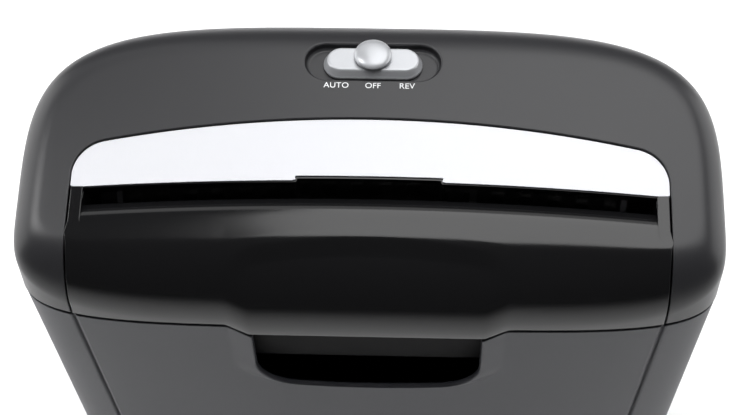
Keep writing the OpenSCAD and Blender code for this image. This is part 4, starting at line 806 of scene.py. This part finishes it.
panel_shell = Moulding(COVER_WALL)
level = np.ones_like(panel_columns)
lip_rows = [bowed(np.stack([panel_columns, (SLOT_Y + y) * level, (SLOT_Z + z) * level], -1), share)
            for (y, z), share in zip(lip_line + guide_line, [1] * len(lip_line) + GUIDE_BOW)]
panel_shell.grid(np.array(panel_front(panel_columns) + lip_rows))
for side in (-1, 1):
    strip_x = np.array([TROUGH_HALF + d for d in (0, 0.5, 2.7, 4.5)] + [PANEL_EDGE - 0.3]) * side
    strip_x = strip_x if side > 0 else strip_x[::-1]
    rows = panel_front(strip_x)
    inner = 0 if side > 0 else -1
    ends = []
    for k, y in enumerate([y for y, z in lip_line] + [-3.7, -2.4, -1.2, -0.35]):
        x = strip_x.copy()
        x[inner] += side * RIM_R * min(1, (k + 1) / 3)
        rows.append(np.stack([x, np.full_like(x, SLOT_Y + y), np.full_like(x, top_z(SLOT_Y + y))], -1))
        ends.append((rows[-1][inner], k))
    panel_shell.grid(np.array(rows))
    # the trough's end wall, under a rounded edge of the strip
    up = np.array([0, -math.sin(TOP_SLOPE), math.cos(TOP_SLOPE)])
    over, turns = np.array([side, 0, 0]), np.radians((0, 30, 60, 90))
    wall = [[np.array([side * TROUGH_HALF, SLOT_Y + CREST_Y, SLOT_Z + CREST_Z])] * 5]
    for (place, k), (y, z) in zip(ends, lip_line):
        r = RIM_R * min(1, (k + 1) / 3)
        wall.append([place - over * r * math.sin(t) - up * r * (1 - math.cos(t)) for t in turns]
                    + [np.array([side * TROUGH_HALF, SLOT_Y + y, SLOT_Z + z])])
    facing = [[up * math.cos(t) - over * math.sin(t) for t in (*turns, turns[-1])]] * len(wall)
    wall, facing = np.array(wall), np.array(facing)
    across_wall = slice(None, None, -side)
    panel_shell.grid(wall[:, across_wall], normal=facing[:, across_wall])
panel_shell.finish_edges()

SHOULDER_X = PANEL_HALF - SHOULDER_R
ARCH_MID = SLOT_Y + ARCH_H - ARCH_R
SHOULDER_Y = ARCH_MID + math.sqrt((ARCH_R - SHOULDER_R) ** 2 - SHOULDER_X ** 2)


def seam_distance(p):
    """How far a point lies outside the panel's outline: straight sides, rounded shoulders, arch."""
    x, y = np.abs(p[..., 0]), p[..., 1]
    dx, dy = x - SHOULDER_X, y - SHOULDER_Y
    lean = math.atan2(SHOULDER_Y - ARCH_MID, SHOULDER_X)
    turn = np.arctan2(dy, dx)
    return np.where(dy <= 0, x - PANEL_HALF,
                    np.where((turn < lean) & (turn >= 0), np.hypot(dx, dy) - SHOULDER_R,
                             np.hypot(x, y - ARCH_MID) - ARCH_R))


def behind_slot(p):
    """How far a point lies behind the slot's bowed back edge."""
    return p[..., 1] - SLOT_Y - bow(p[..., 0])


def card_room(p, half, deep):
    """Distance from the card notch."""
    return np.maximum(np.abs(p[..., 0]) - half, behind_slot(p) - deep)


def field(depth):
    """A grid over the label's field, so deep below the head's top."""
    x, y = np.meshgrid(stops(-130.0, (-104, 34), (-33, 22), (33, 44), (104, 22), (130, 34)),
                       stops(SLOT_Y - 1, (SLOT_Y + 9, 14), (SLOT_Y + 37, 22)))
    return np.stack([x, y, top_z(y) - depth], -1)


def field_room(p):
    """Distance into the label's field from the panel's seam, the slot and the card notch."""
    notch = card_room(p, CARD_HALF - CARD_LEDGE, CARD_DEEP - CARD_LEDGE)
    return np.minimum(np.minimum(-seam_distance(p) - LABEL_GAP - 0.1, behind_slot(p) - 0.05), notch)


field_shell = Moulding(COVER_WALL)
field_shell.grid(field(LABEL_STEP + LABEL_T), keep=field_room)
rim_section = [(0.03, 0.05, 45), (0.05, 0.1, 90), (0.05, 0.5, 90), (0.05, 1, 90), (0.05, 1.5, 90),
               (0.05, 2, 90), (-0.05, 2.3, 120), (-0.2, COVER_WALL, 160)]
guide_section = [(0.02, 0.05, 45), (0.05, 0.15, 80), (0.05, 6, 90), (0.05, 14, 90), (0.05, 22, 90),
                 (0.05, GUIDE_DEPTH - 2, 110), (-1.6, GUIDE_DEPTH - 2, 180), (-1.6, COVER_WALL, 270)]
for loop in field_shell.loops():
    if len(loop) > 20:
        at = np.array([field_shell.points[i] for i in loop])
        pick = [0 if -seam_distance(q) - LABEL_GAP < 0.15 and q[1] > SLOT_Y + 0.4 else 1 for q in at]
        field_shell.edge(loop, [rim_section, guide_section], pick=pick)
# the walls that close the paper's way at its two ends
for side in (-1, 1):
    x0, x1 = sorted((side * (TROUGH_HALF + 0.05), side * (TROUGH_HALF + 2)))
    y0, y1 = SLOT_Y - 6.5, SLOT_Y + 6.5
    field_shell.loft([np.array([(x0, y0, z), (x1, y0, z), (x1, y1, z), (x0, y1, z)])
                      for z in (SLOT_Z - 3.2, SLOT_Z - GUIDE_DEPTH + 0.2)])
offset = len(panel_shell.points)
panel_shell.points += field_shell.points
panel_shell.normals += field_shell.normals
panel_shell.faces += [[i + offset for i in ring] for ring in field_shell.faces]

panel_finish = Finish("panel_plastic", Coat_Roughness=0.08)
grain = panel_finish.noise(2600, 3)
flow = panel_finish.noise(9, 2, (1, 3, 3))
panel_black = panel_finish.set(
    Base_Color=panel_finish.blend(flow, (0.004, 0.004, 0.0044, 1), (0.006, 0.006, 0.0066, 1)),
    Roughness=0.1 + 0.05 * grain, Coat_Weight=0.25, Normal=panel_finish.bump(grain, 0.000012))
panel_piece = panel_shell.build("front_fascia", panel_black)
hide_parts("front_panel")
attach(panel_piece, "head")

# ---- Label plate ----
# A thin satin-silver plate glued into its field behind the slot, notched for a bank card.
# Its face is left bare.
LABEL_R, LABEL_BACK, GLUE = 0.2, 0.3, 0.03


def label_room(p):
    """Distance into the label from its own edges, a gap inside the field's."""
    edge = np.minimum(-seam_distance(p) - LABEL_GAP - LABEL_R, behind_slot(p) - LABEL_BACK - LABEL_R)
    return np.minimum(edge, card_room(p, CARD_HALF, CARD_DEEP) - LABEL_R)


label_shell = Moulding(LABEL_T - GLUE)
label_shell.grid(field(LABEL_STEP), keep=label_room)
label_shell.finish_edges(LABEL_R)
label_finish = Finish("label_silver", Coat_Roughness=0.3)
flake = label_finish.noise(5200, 2)
brushed = label_finish.noise(900, 2, (1, 0.1, 1))
label_silver = label_finish.set(
    Base_Color=label_finish.blend(flake, (0.5, 0.505, 0.53, 1), (0.58, 0.585, 0.61, 1)),
    Metallic=0.35, Roughness=0.4 + 0.1 * brushed, Normal=label_finish.bump(flake, 0.000006))
label_piece = label_shell.build("silver_label", label_silver)
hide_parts("label_plate")
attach(label_piece, "head")

# ---- Top cover ----
# The satin charcoal cover of the head: one moulding that runs round the back and both
# sides, rolled over all along, with an arched opening for the panel and a dished recess
# for the mode slider. Four screws hold it from below.
SLIDER_Y = SLOT_Y + 64.0
DISH_W, DISH_D, DISH_DEEP, DISH_EDGE, DISH_FOOT_R = 60.2, 19.7, 3, 0.9, 1.6
DISH_Z = float(top_z(SLIDER_Y - DISH_D / 2)) - DISH_DEEP
STEM_HALF, STEM_SIDE = 10.4, 2.9
COVER_MID_Y = SLOT_Y - 8.0
INLET_X, INLET_Z, INLET_R = -62.0, 275.6, 5.1


def dish_distance(p):
    """How far a point lies outside the dish."""
    q = np.maximum(np.abs(p[..., 0]) - (DISH_W - DISH_D) / 2, 0)
    return np.hypot(q, p[..., 1] - SLIDER_Y) - DISH_D / 2


def cover_room(p):
    """Distance from the cover's three openings: for the panel, the slider and the cord's inlet."""
    x, y, z = np.moveaxis(p, -1, 0)
    dish = np.where(y > SLOT_Y + 10, dish_distance(p) - DISH_EDGE, 9)
    inlet = np.where(y > SLIDER_Y + 15, np.hypot(x - INLET_X, z - INLET_Z) - INLET_R - EDGE_R, 9)
    return np.minimum(np.minimum(seam_distance(p) - EDGE_R, dish), inlet)


quarter = 90 * (np.arange(0, 121) / 120)
crowd = 45 + 45 * np.sign(quarter / 45 - 1) * np.abs(quarter / 45 - 1) ** 1.25
turns = np.radians(np.concatenate([crowd[:-1] + 90 * k for k in range(4)]))
c, s = np.cos(turns), np.sin(turns)
square = np.where(s < 0, FRONT_SQUARE, BACK_SQUARE)
r = (np.abs(c) ** square + np.abs(s) ** square) ** (-1 / square)
ux, uy = r * c, r * s
start = head_skin(ux, uy, 0.0)
rows = []
for f in np.linspace(0, 1, 17)[:-1]:
    level = start.copy()
    level[:, 2] = (SEAM_Z + EDGE_R) * (1 - f) + start[:, 2] * f
    rows.append(level)
rows += [head_skin(ux, uy, a) for a in np.linspace(0, math.pi / 2, 25)]
brow = rows[-1]
for f in np.linspace(1, 0.02, 60)[1:]:
    level = np.stack([brow[:, 0] * f, COVER_MID_Y + f * (brow[:, 1] - COVER_MID_Y), 0 * ux], -1)
    level[:, 2] = top_z(level[:, 1])
    rows.append(level)
cover_shell = Moulding(COVER_WALL)
cover_shell.grid(np.array(rows), wrap=True, keep=cover_room)
# the dish: a rounded edge, a wall, a rounded foot and a floor with the opening for the stem
bend = np.radians((18, 36, 54, 72, 90))
z_up = np.array([0, 0, 1.0])
for loop in cover_shell.loops():
    at = np.array([cover_shell.points[i] for i in loop])
    if len(loop) < 20 or np.abs(dish_distance(at) - DISH_EDGE).max() > 0.2:
        continue
    n = np.array([cover_shell.normals[i] for i in loop])
    q = np.clip(at[:, 0], -(DISH_W - DISH_D) / 2, (DISH_W - DISH_D) / 2)
    inward = unit(np.stack([q - at[:, 0], SLIDER_Y - at[:, 1], 0 * q], -1))
    corner_in = at - n * COVER_WALL - inward * (COVER_WALL - DISH_EDGE)
    rest = at + inward * DISH_EDGE - n * DISH_EDGE
    stages = [(at + inward * DISH_EDGE * math.sin(t) - n * DISH_EDGE * (1 - math.cos(t)),
               unit(n * math.cos(t) + inward * math.sin(t)), corner_in) for t in bend]
    for f in (0.33, 0.66, 1.0):
        low = rest.copy()
        low[:, 2] = rest[:, 2] * (1 - f) + (DISH_Z + DISH_FOOT_R) * f
        low += inward * 0.25 * f
        stages.append((low, inward, low - inward * COVER_WALL))
    for t in bend:
        place = low + inward * DISH_FOOT_R * (1 - math.cos(t))
        place[:, 2] = DISH_Z + DISH_FOOT_R * (1 - math.sin(t))
        face_to = unit(inward * math.cos(t) + z_up * math.sin(t))
        stages.append((place, face_to, place - face_to * COVER_WALL))
    edge_x, edge_y = place[:, 0], place[:, 1] - SLIDER_Y
    shrink = np.minimum(STEM_HALF / np.maximum(np.abs(edge_x), 1e-6),
                        STEM_SIDE / np.maximum(np.abs(edge_y), 1e-6))
    hole = np.stack([edge_x * shrink, SLIDER_Y + edge_y * shrink, np.full_like(edge_x, DISH_Z)], -1)
    for f in (0.5, 1.0):
        here = place * (1 - f) + hole * f
        stages.append((here, np.tile(z_up, (len(at), 1)), here - z_up * COVER_WALL))
    ring = list(loop)
    for places, facings, insides in stages:
        new = [cover_shell.add(a, b, i) for a, b, i in zip(places, facings, insides)]
        for k in range(len(ring)):
            j = (k + 1) % len(ring)
            cover_shell.face([ring[j], ring[k], new[k], new[j]])
        ring = new
cover_shell.finish_edges(EDGE_R)

cover_charcoal = moulded("cover_plastic", (0.016, 0.016, 0.018), (0.021, 0.021, 0.023), 0.3, 2600,
                         0.00002, 11)
cover_piece = cover_shell.build("charcoal_cover", cover_charcoal)
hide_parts("top_cover")
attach(cover_piece, "head")

# ---- Screws ----
# Pan-head screws with a cross recess, in bright zinc: four long ones up into the cover's
# posts, two short ones for the mode switch, four in the gear cover and two in the motor.
# Each is driven home at an angle of its own.
CROSS_HALF, CROSS_ARM = 0.15, 0.58
POST_SEATS = [(140.4, -8.75, 252), (-140.4, -8.75, 252), (90, 53.25, 252), (-90, 53.25, 252)]
SWITCH_SEATS = [(x, SLIDER_Y, 295.73) for x in (-17, 17)]
GEAR_COVER_SEATS = [(133.5, y, z) for y, z in ((-38.25, 262), (-30.25, 228), (4.75, 219), (-9.25, 286))]
MOTOR_SEATS = [(112, MOTOR_AXIS[0] / MM + y, MOTOR_AXIS[1] / MM) for y in (-9, 9)]
DOWN, TO_RIGHT = (0, 0, -1), (1, 0, 0)


def cross(size, z):
    """Outline of a cross recess, 24 points, counter-clockwise from above."""
    corners = ((CROSS_ARM, -CROSS_HALF), (CROSS_ARM, CROSS_HALF), (CROSS_HALF, CROSS_HALF))
    arms = [(math.cos(a), math.sin(a)) for a in (0, math.pi / 2, math.pi, 3 * math.pi / 2)]
    return np.array([(size * (x * c - y * s), size * (x * s + y * c), z)
                     for c, s in arms for x, y in corners for _ in (0, 1)])


def disc(r, z):
    """A round level of the screw's head, with as many points as its recess."""
    return np.array([(r * math.cos(a), r * math.sin(a), z)
                     for a in np.radians(np.arange(24) * 15 - 22.5)])


zinc = metal("screw_zinc", (0.46, 0.47, 0.5), (0.66, 0.67, 0.69), 0.24, (1, 1, 1), 1500, 0.000004, 160)
head_shell = Moulding(1)
head_shell.loft([cross(0.55, 0.25), cross(1, 0.97)]
                + [disc(r, z) for r, z in ((0.64, 0.96), (0.82, 0.84), (0.94, 0.62), (1, 0.35), (1, 0))])
screw_head = head_shell.build("screw_head", zinc)

driven = bpy.data.node_groups.new("driven_screws", "GeometryNodeTree")
driven.interface.new_socket("Geometry", in_out="OUTPUT", socket_type="NodeSocketGeometry")
SCREW_INPUTS = {}
for title, kind in (("Geometry", "Geometry"), ("Head", "Object"), ("Head Radius", "Float"),
                    ("Head Height", "Float"), ("Shank Radius", "Float"), ("Shank Length", "Float"),
                    ("Finish", "Material"), ("Seed", "Int")):
    socket = driven.interface.new_socket(title, in_out="INPUT", socket_type="NodeSocket" + kind)
    SCREW_INPUTS[title] = socket.identifier
given = driven.nodes.new("NodeGroupInput").outputs


def step(kind, settings=None, **links):
    """Adds a node to the tree of screws; links name its inputs, with _ for a space."""
    made = driven.nodes.new(kind)
    for key, value in (settings or {}).items():
        setattr(made, key, value)
    for key, value in links.items():
        socket = made.inputs[key.replace("_", " ")]
        if isinstance(value, bpy.types.NodeSocket):
            driven.links.new(value, socket)
        else:
            socket.default_value = value
    return made.outputs[0]


radius = given["Head Radius"]
girth = step("ShaderNodeCombineXYZ", X=radius, Y=radius, Z=given["Head Height"])
source = driven.nodes.new("GeometryNodeObjectInfo")
driven.links.new(given["Head"], source.inputs["Object"])
cap = step("GeometryNodeTransform", Geometry=source.outputs["Geometry"], Scale=girth)
length = given["Shank Length"]
rod = step("GeometryNodeMeshCylinder", Vertices=16, Radius=given["Shank Radius"], Depth=length)
half_down = step("ShaderNodeVectorMath", {"operation": "SCALE"}, Vector=(0, 0, -0.5), Scale=length)
shank = step("GeometryNodeTransform", Geometry=rod, Translation=half_down)
whole = driven.nodes.new("GeometryNodeJoinGeometry")
for piece in (shank, cap):
    driven.links.new(piece, whole.inputs[0])
outward = step("GeometryNodeInputNamedAttribute", {"data_type": "FLOAT_VECTOR"}, Name="outward")
aim = step("FunctionNodeAlignRotationToVector", {"axis": "Z"}, Vector=outward)
angle = driven.nodes.new("FunctionNodeRandomValue")
angle.inputs[3].default_value = 2 * math.pi
driven.links.new(given["Seed"], angle.inputs["Seed"])
spin = step("FunctionNodeAxisAngleToRotation", Axis=(0, 0, 1), Angle=angle.outputs[1])
turned_home = step("FunctionNodeRotateRotation", {"rotation_space": "LOCAL"},
                   Rotation=aim, Rotate_By=spin)
placed = step("GeometryNodeInstanceOnPoints", Points=given["Geometry"], Instance=whole.outputs[0],
              Rotation=turned_home)
real = step("GeometryNodeRealizeInstances", Geometry=placed)
coated = step("GeometryNodeSetMaterial", Geometry=real, Material=given["Finish"])
driven.links.new(coated, driven.nodes.new("NodeGroupOutput").inputs[0])


def drive_screws(name, node, seats, outward, head, shank, seed):
    """Screws at their seats, heads outward; head and shank are each (radius, length) in millimetres."""
    marks = bpy.data.meshes.new(name)
    marks.from_pydata([tuple(c * MM for c in seat) for seat in seats], [], [])
    facing = marks.attributes.new("outward", "FLOAT_VECTOR", "POINT")
    facing.data.foreach_set("vector", list(outward) * len(seats))
    made = bpy.data.objects.new(name, marks)
    bpy.context.scene.collection.objects.link(made)
    drive = made.modifiers.new("driven_screws", "NODES")
    drive.node_group = driven
    for title, value in (("Head", screw_head), ("Head Radius", float(head[0])),
                         ("Head Height", float(head[1])), ("Shank Radius", shank[0] * MM),
                         ("Shank Length", shank[1] * MM), ("Finish", zinc), ("Seed", seed)):
        drive[SCREW_INPUTS[title]] = value
    solid = bpy.data.meshes.new_from_object(made.evaluated_get(bpy.context.evaluated_depsgraph_get()))
    made.modifiers.remove(drive)
    made.data = solid
    solid.materials.clear()
    solid.materials.append(zinc)
    solid.polygons.foreach_set("material_index", [0] * len(solid.polygons))
    solid.polygons.foreach_set("use_smooth", [False] * len(solid.polygons))
    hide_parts(node)
    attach(made, "head")


drive_screws("post_screws", "cover_screws", POST_SEATS, DOWN, (3.4, 2.6), (1.5, 23.4), 3)
drive_screws("switch_screws", "cover_screws", SWITCH_SEATS, DOWN, (2.4, 1.6), (1.1, 5.3), 5)
drive_screws("gear_cover_screws", "cover_plate_screws", GEAR_COVER_SEATS, TO_RIGHT,
             (2.8, 1.8), (1.3, 23.8), 7)
drive_screws("motor_fixing_screws", "motor_screws", MOTOR_SEATS, TO_RIGHT, (2.6, 1.4), (1.3, 6), 9)
bpy.data.objects.remove(screw_head)

# ---- Mode slider ----
# The silver-painted slide switch: a bevelled oblong plate that slips left and right in the
# dish, with a round thumb button pressed on it and a stem down to the switch.
PLATE_W, PLATE_D, PLATE_H = 44.0, 16.0, 5.0
BUTTON_R, BUTTON_H = 8.3, 4.2
STEM_W, STEM_D, STEM_DOWN = 6.0, 5.0, 8.6
PLATE_Z = DISH_Z + 0.3


def oblong(inset, z, steps=24):
    """Ring of an oblong, a level of the plate, counter-clockwise from above."""
    r, x = PLATE_D / 2 - inset, (PLATE_W - PLATE_D) / 2
    half_round = np.linspace(-math.pi / 2, math.pi / 2, steps)
    return np.array([(side * x + r * math.cos(t), SLIDER_Y + r * math.sin(t), z)
                     for side, turn in ((1, 0), (-1, math.pi)) for t in half_round + turn])


def turned(section, centre, steps=64):
    """Rings of a turned piece: its section is (radius, height) from the foot up to the axis."""
    t = 2 * math.pi * np.arange(steps) / steps
    x, y, foot_z = centre
    return np.array([np.stack([x + r * np.cos(t), y + r * np.sin(t), 0 * t + foot_z + z], -1)
                     for r, z in section])


def solid_of(rings, shell):
    """A closed solid of rings: both ends are drawn together to a point."""
    n = unit(np.cross(slopes(rings, 1, True), slopes(rings, 0, False)))
    up = np.zeros_like(rings[0]) + (0, 0, 1)
    low, high = (ring.mean(0) + 0 * ring for ring in (rings[0], rings[-1]))
    rows = [(low, -up), (rings[0], -up)] + list(zip(rings, n)) + [(rings[-1], up), (high, up)]
    ids = [[shell.add(a, b) for a, b in zip(ring, facing)] for ring, facing in rows]
    for low, high in zip(ids, ids[1:]):
        for k in range(len(low)):
            j = (k + 1) % len(low)
            shell.face([low[k], low[j], high[j], high[k]], lined=False)


plate_shell = Moulding(1)
bevel = [(0.35, 0), (0.12, 0.05), (0, 0.2), (0, 1.1), (0.06, 1.35), (0.25, 1.6)]
bevel += [(0.25 + 1.6 * f, 1.6 + (PLATE_H - 1.85) * f) for f in (0.25, 0.5, 0.75, 1)]
bevel += [(2.02, PLATE_H - 0.1)] + [(inset, PLATE_H) for inset in (2.35, 2.8, 4.2, 5.6)]
solid_of(np.array([oblong(inset, PLATE_Z + z) for inset, z in bevel]), plate_shell)
stem = [[(a * (STEM_W / 2 - i), SLIDER_Y + b * (STEM_D / 2 - i), PLATE_Z + 0.1 - STEM_DOWN + z)
         for a, b in ((1, -1), (1, 1), (-1, 1), (-1, -1))]
        for i, z in ((0.4, 0), (0, 0.4), (0, STEM_DOWN))]
solid_of(np.array(stem), plate_shell)
slider_finish = Finish("slider_silver", Coat_Roughness=0.15)
flake = slider_finish.noise(4200, 2)
slider_silver = slider_finish.set(
    Base_Color=slider_finish.blend(flake, (0.4, 0.41, 0.43, 1), (0.47, 0.48, 0.5, 1)), Metallic=0.45,
    Roughness=0.26 + 0.1 * flake, Coat_Weight=0.3, Normal=slider_finish.bump(flake, 0.000004))
plate_piece = plate_shell.build("slider_key", slider_silver)
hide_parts("slider_plate")
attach(plate_piece, "slider")

button_shell = Moulding(1)
dome = [(4.6, 0), (5.2, 0.7), (BUTTON_R - 0.75, 1.0), (BUTTON_R - 0.35, 1.15), (BUTTON_R - 0.08, 1.5)]
dome += [(BUTTON_R * math.cos(t) ** 0.8, 1.8 + (BUTTON_H - 1.8) * math.sin(t))
         for t in np.linspace(0, 1.5, 22)]
solid_of(turned(dome + [(0.3, BUTTON_H)], (0, SLIDER_Y + 1, PLATE_Z + PLATE_H)), button_shell)
button_piece = button_shell.build("slider_thumb", slider_silver)
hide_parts("slider_button")
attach(button_piece, "slider")

# ---- Switch words ----
# The three positions of the slider in plain capitals, printed in pale ink on the cover in
# front of the dish. The ink lies a hair proud of the plastic.
WORDS = (("AUTO", -15.9), ("OFF", 0.4), ("REV", 15.5))
CAP_H, WORD_Y, INK_T = 2.75, SLOT_Y + 51.2, 0.1
ink_finish = Finish("pale_ink", Roughness=0.5)
speck = ink_finish.noise(1800, 2)
ink = ink_finish.set(Base_Color=ink_finish.blend(speck, (0.62, 0.63, 0.64, 1), (0.74, 0.75, 0.76, 1)))
letters = []
for word, x in WORDS:
    text = bpy.data.curves.new(word, "FONT")
    text.body, text.align_x, text.align_y, text.extrude = word, "CENTER", "CENTER", INK_T / CAP_H
    text.space_character = 1.03
    holder = bpy.data.objects.new(word, text)
    mesh = bpy.data.meshes.new_from_object(holder)
    points = np.array([v.co for v in mesh.vertices])
    scale = CAP_H / (points[:, 1].max() - points[:, 1].min())
    middle = (points.max(0) + points.min(0)) / 2
    letters.append((mesh, (points - middle) * scale + np.array([x, 0, 0])))
    bpy.data.objects.remove(holder)
verts, faces, known = [], [], {}
for mesh, points in letters:
    same = []
    for px, py, pz in points:
        y = WORD_Y + py * math.cos(TOP_SLOPE)
        place = (px * MM, y * MM, (float(top_z(y)) + 0.02 + math.copysign(INK_T / 2, pz)) * MM)
        key = tuple(round(c, 7) for c in place)
        if key not in known:
            known[key] = len(verts)
            verts.append(place)
        same.append(known[key])
    rings = ([same[i] for i in f.vertices] for f in mesh.polygons)
    faces += [ring for ring in rings if len(set(ring)) == len(ring)]
words_mesh = bpy.data.meshes.new("mode_words")
words_mesh.from_pydata(verts, [], faces)
words_mesh.materials.append(ink)
words = bpy.data.objects.new("mode_words", words_mesh)
bpy.context.scene.collection.objects.link(words)
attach(words, "head")
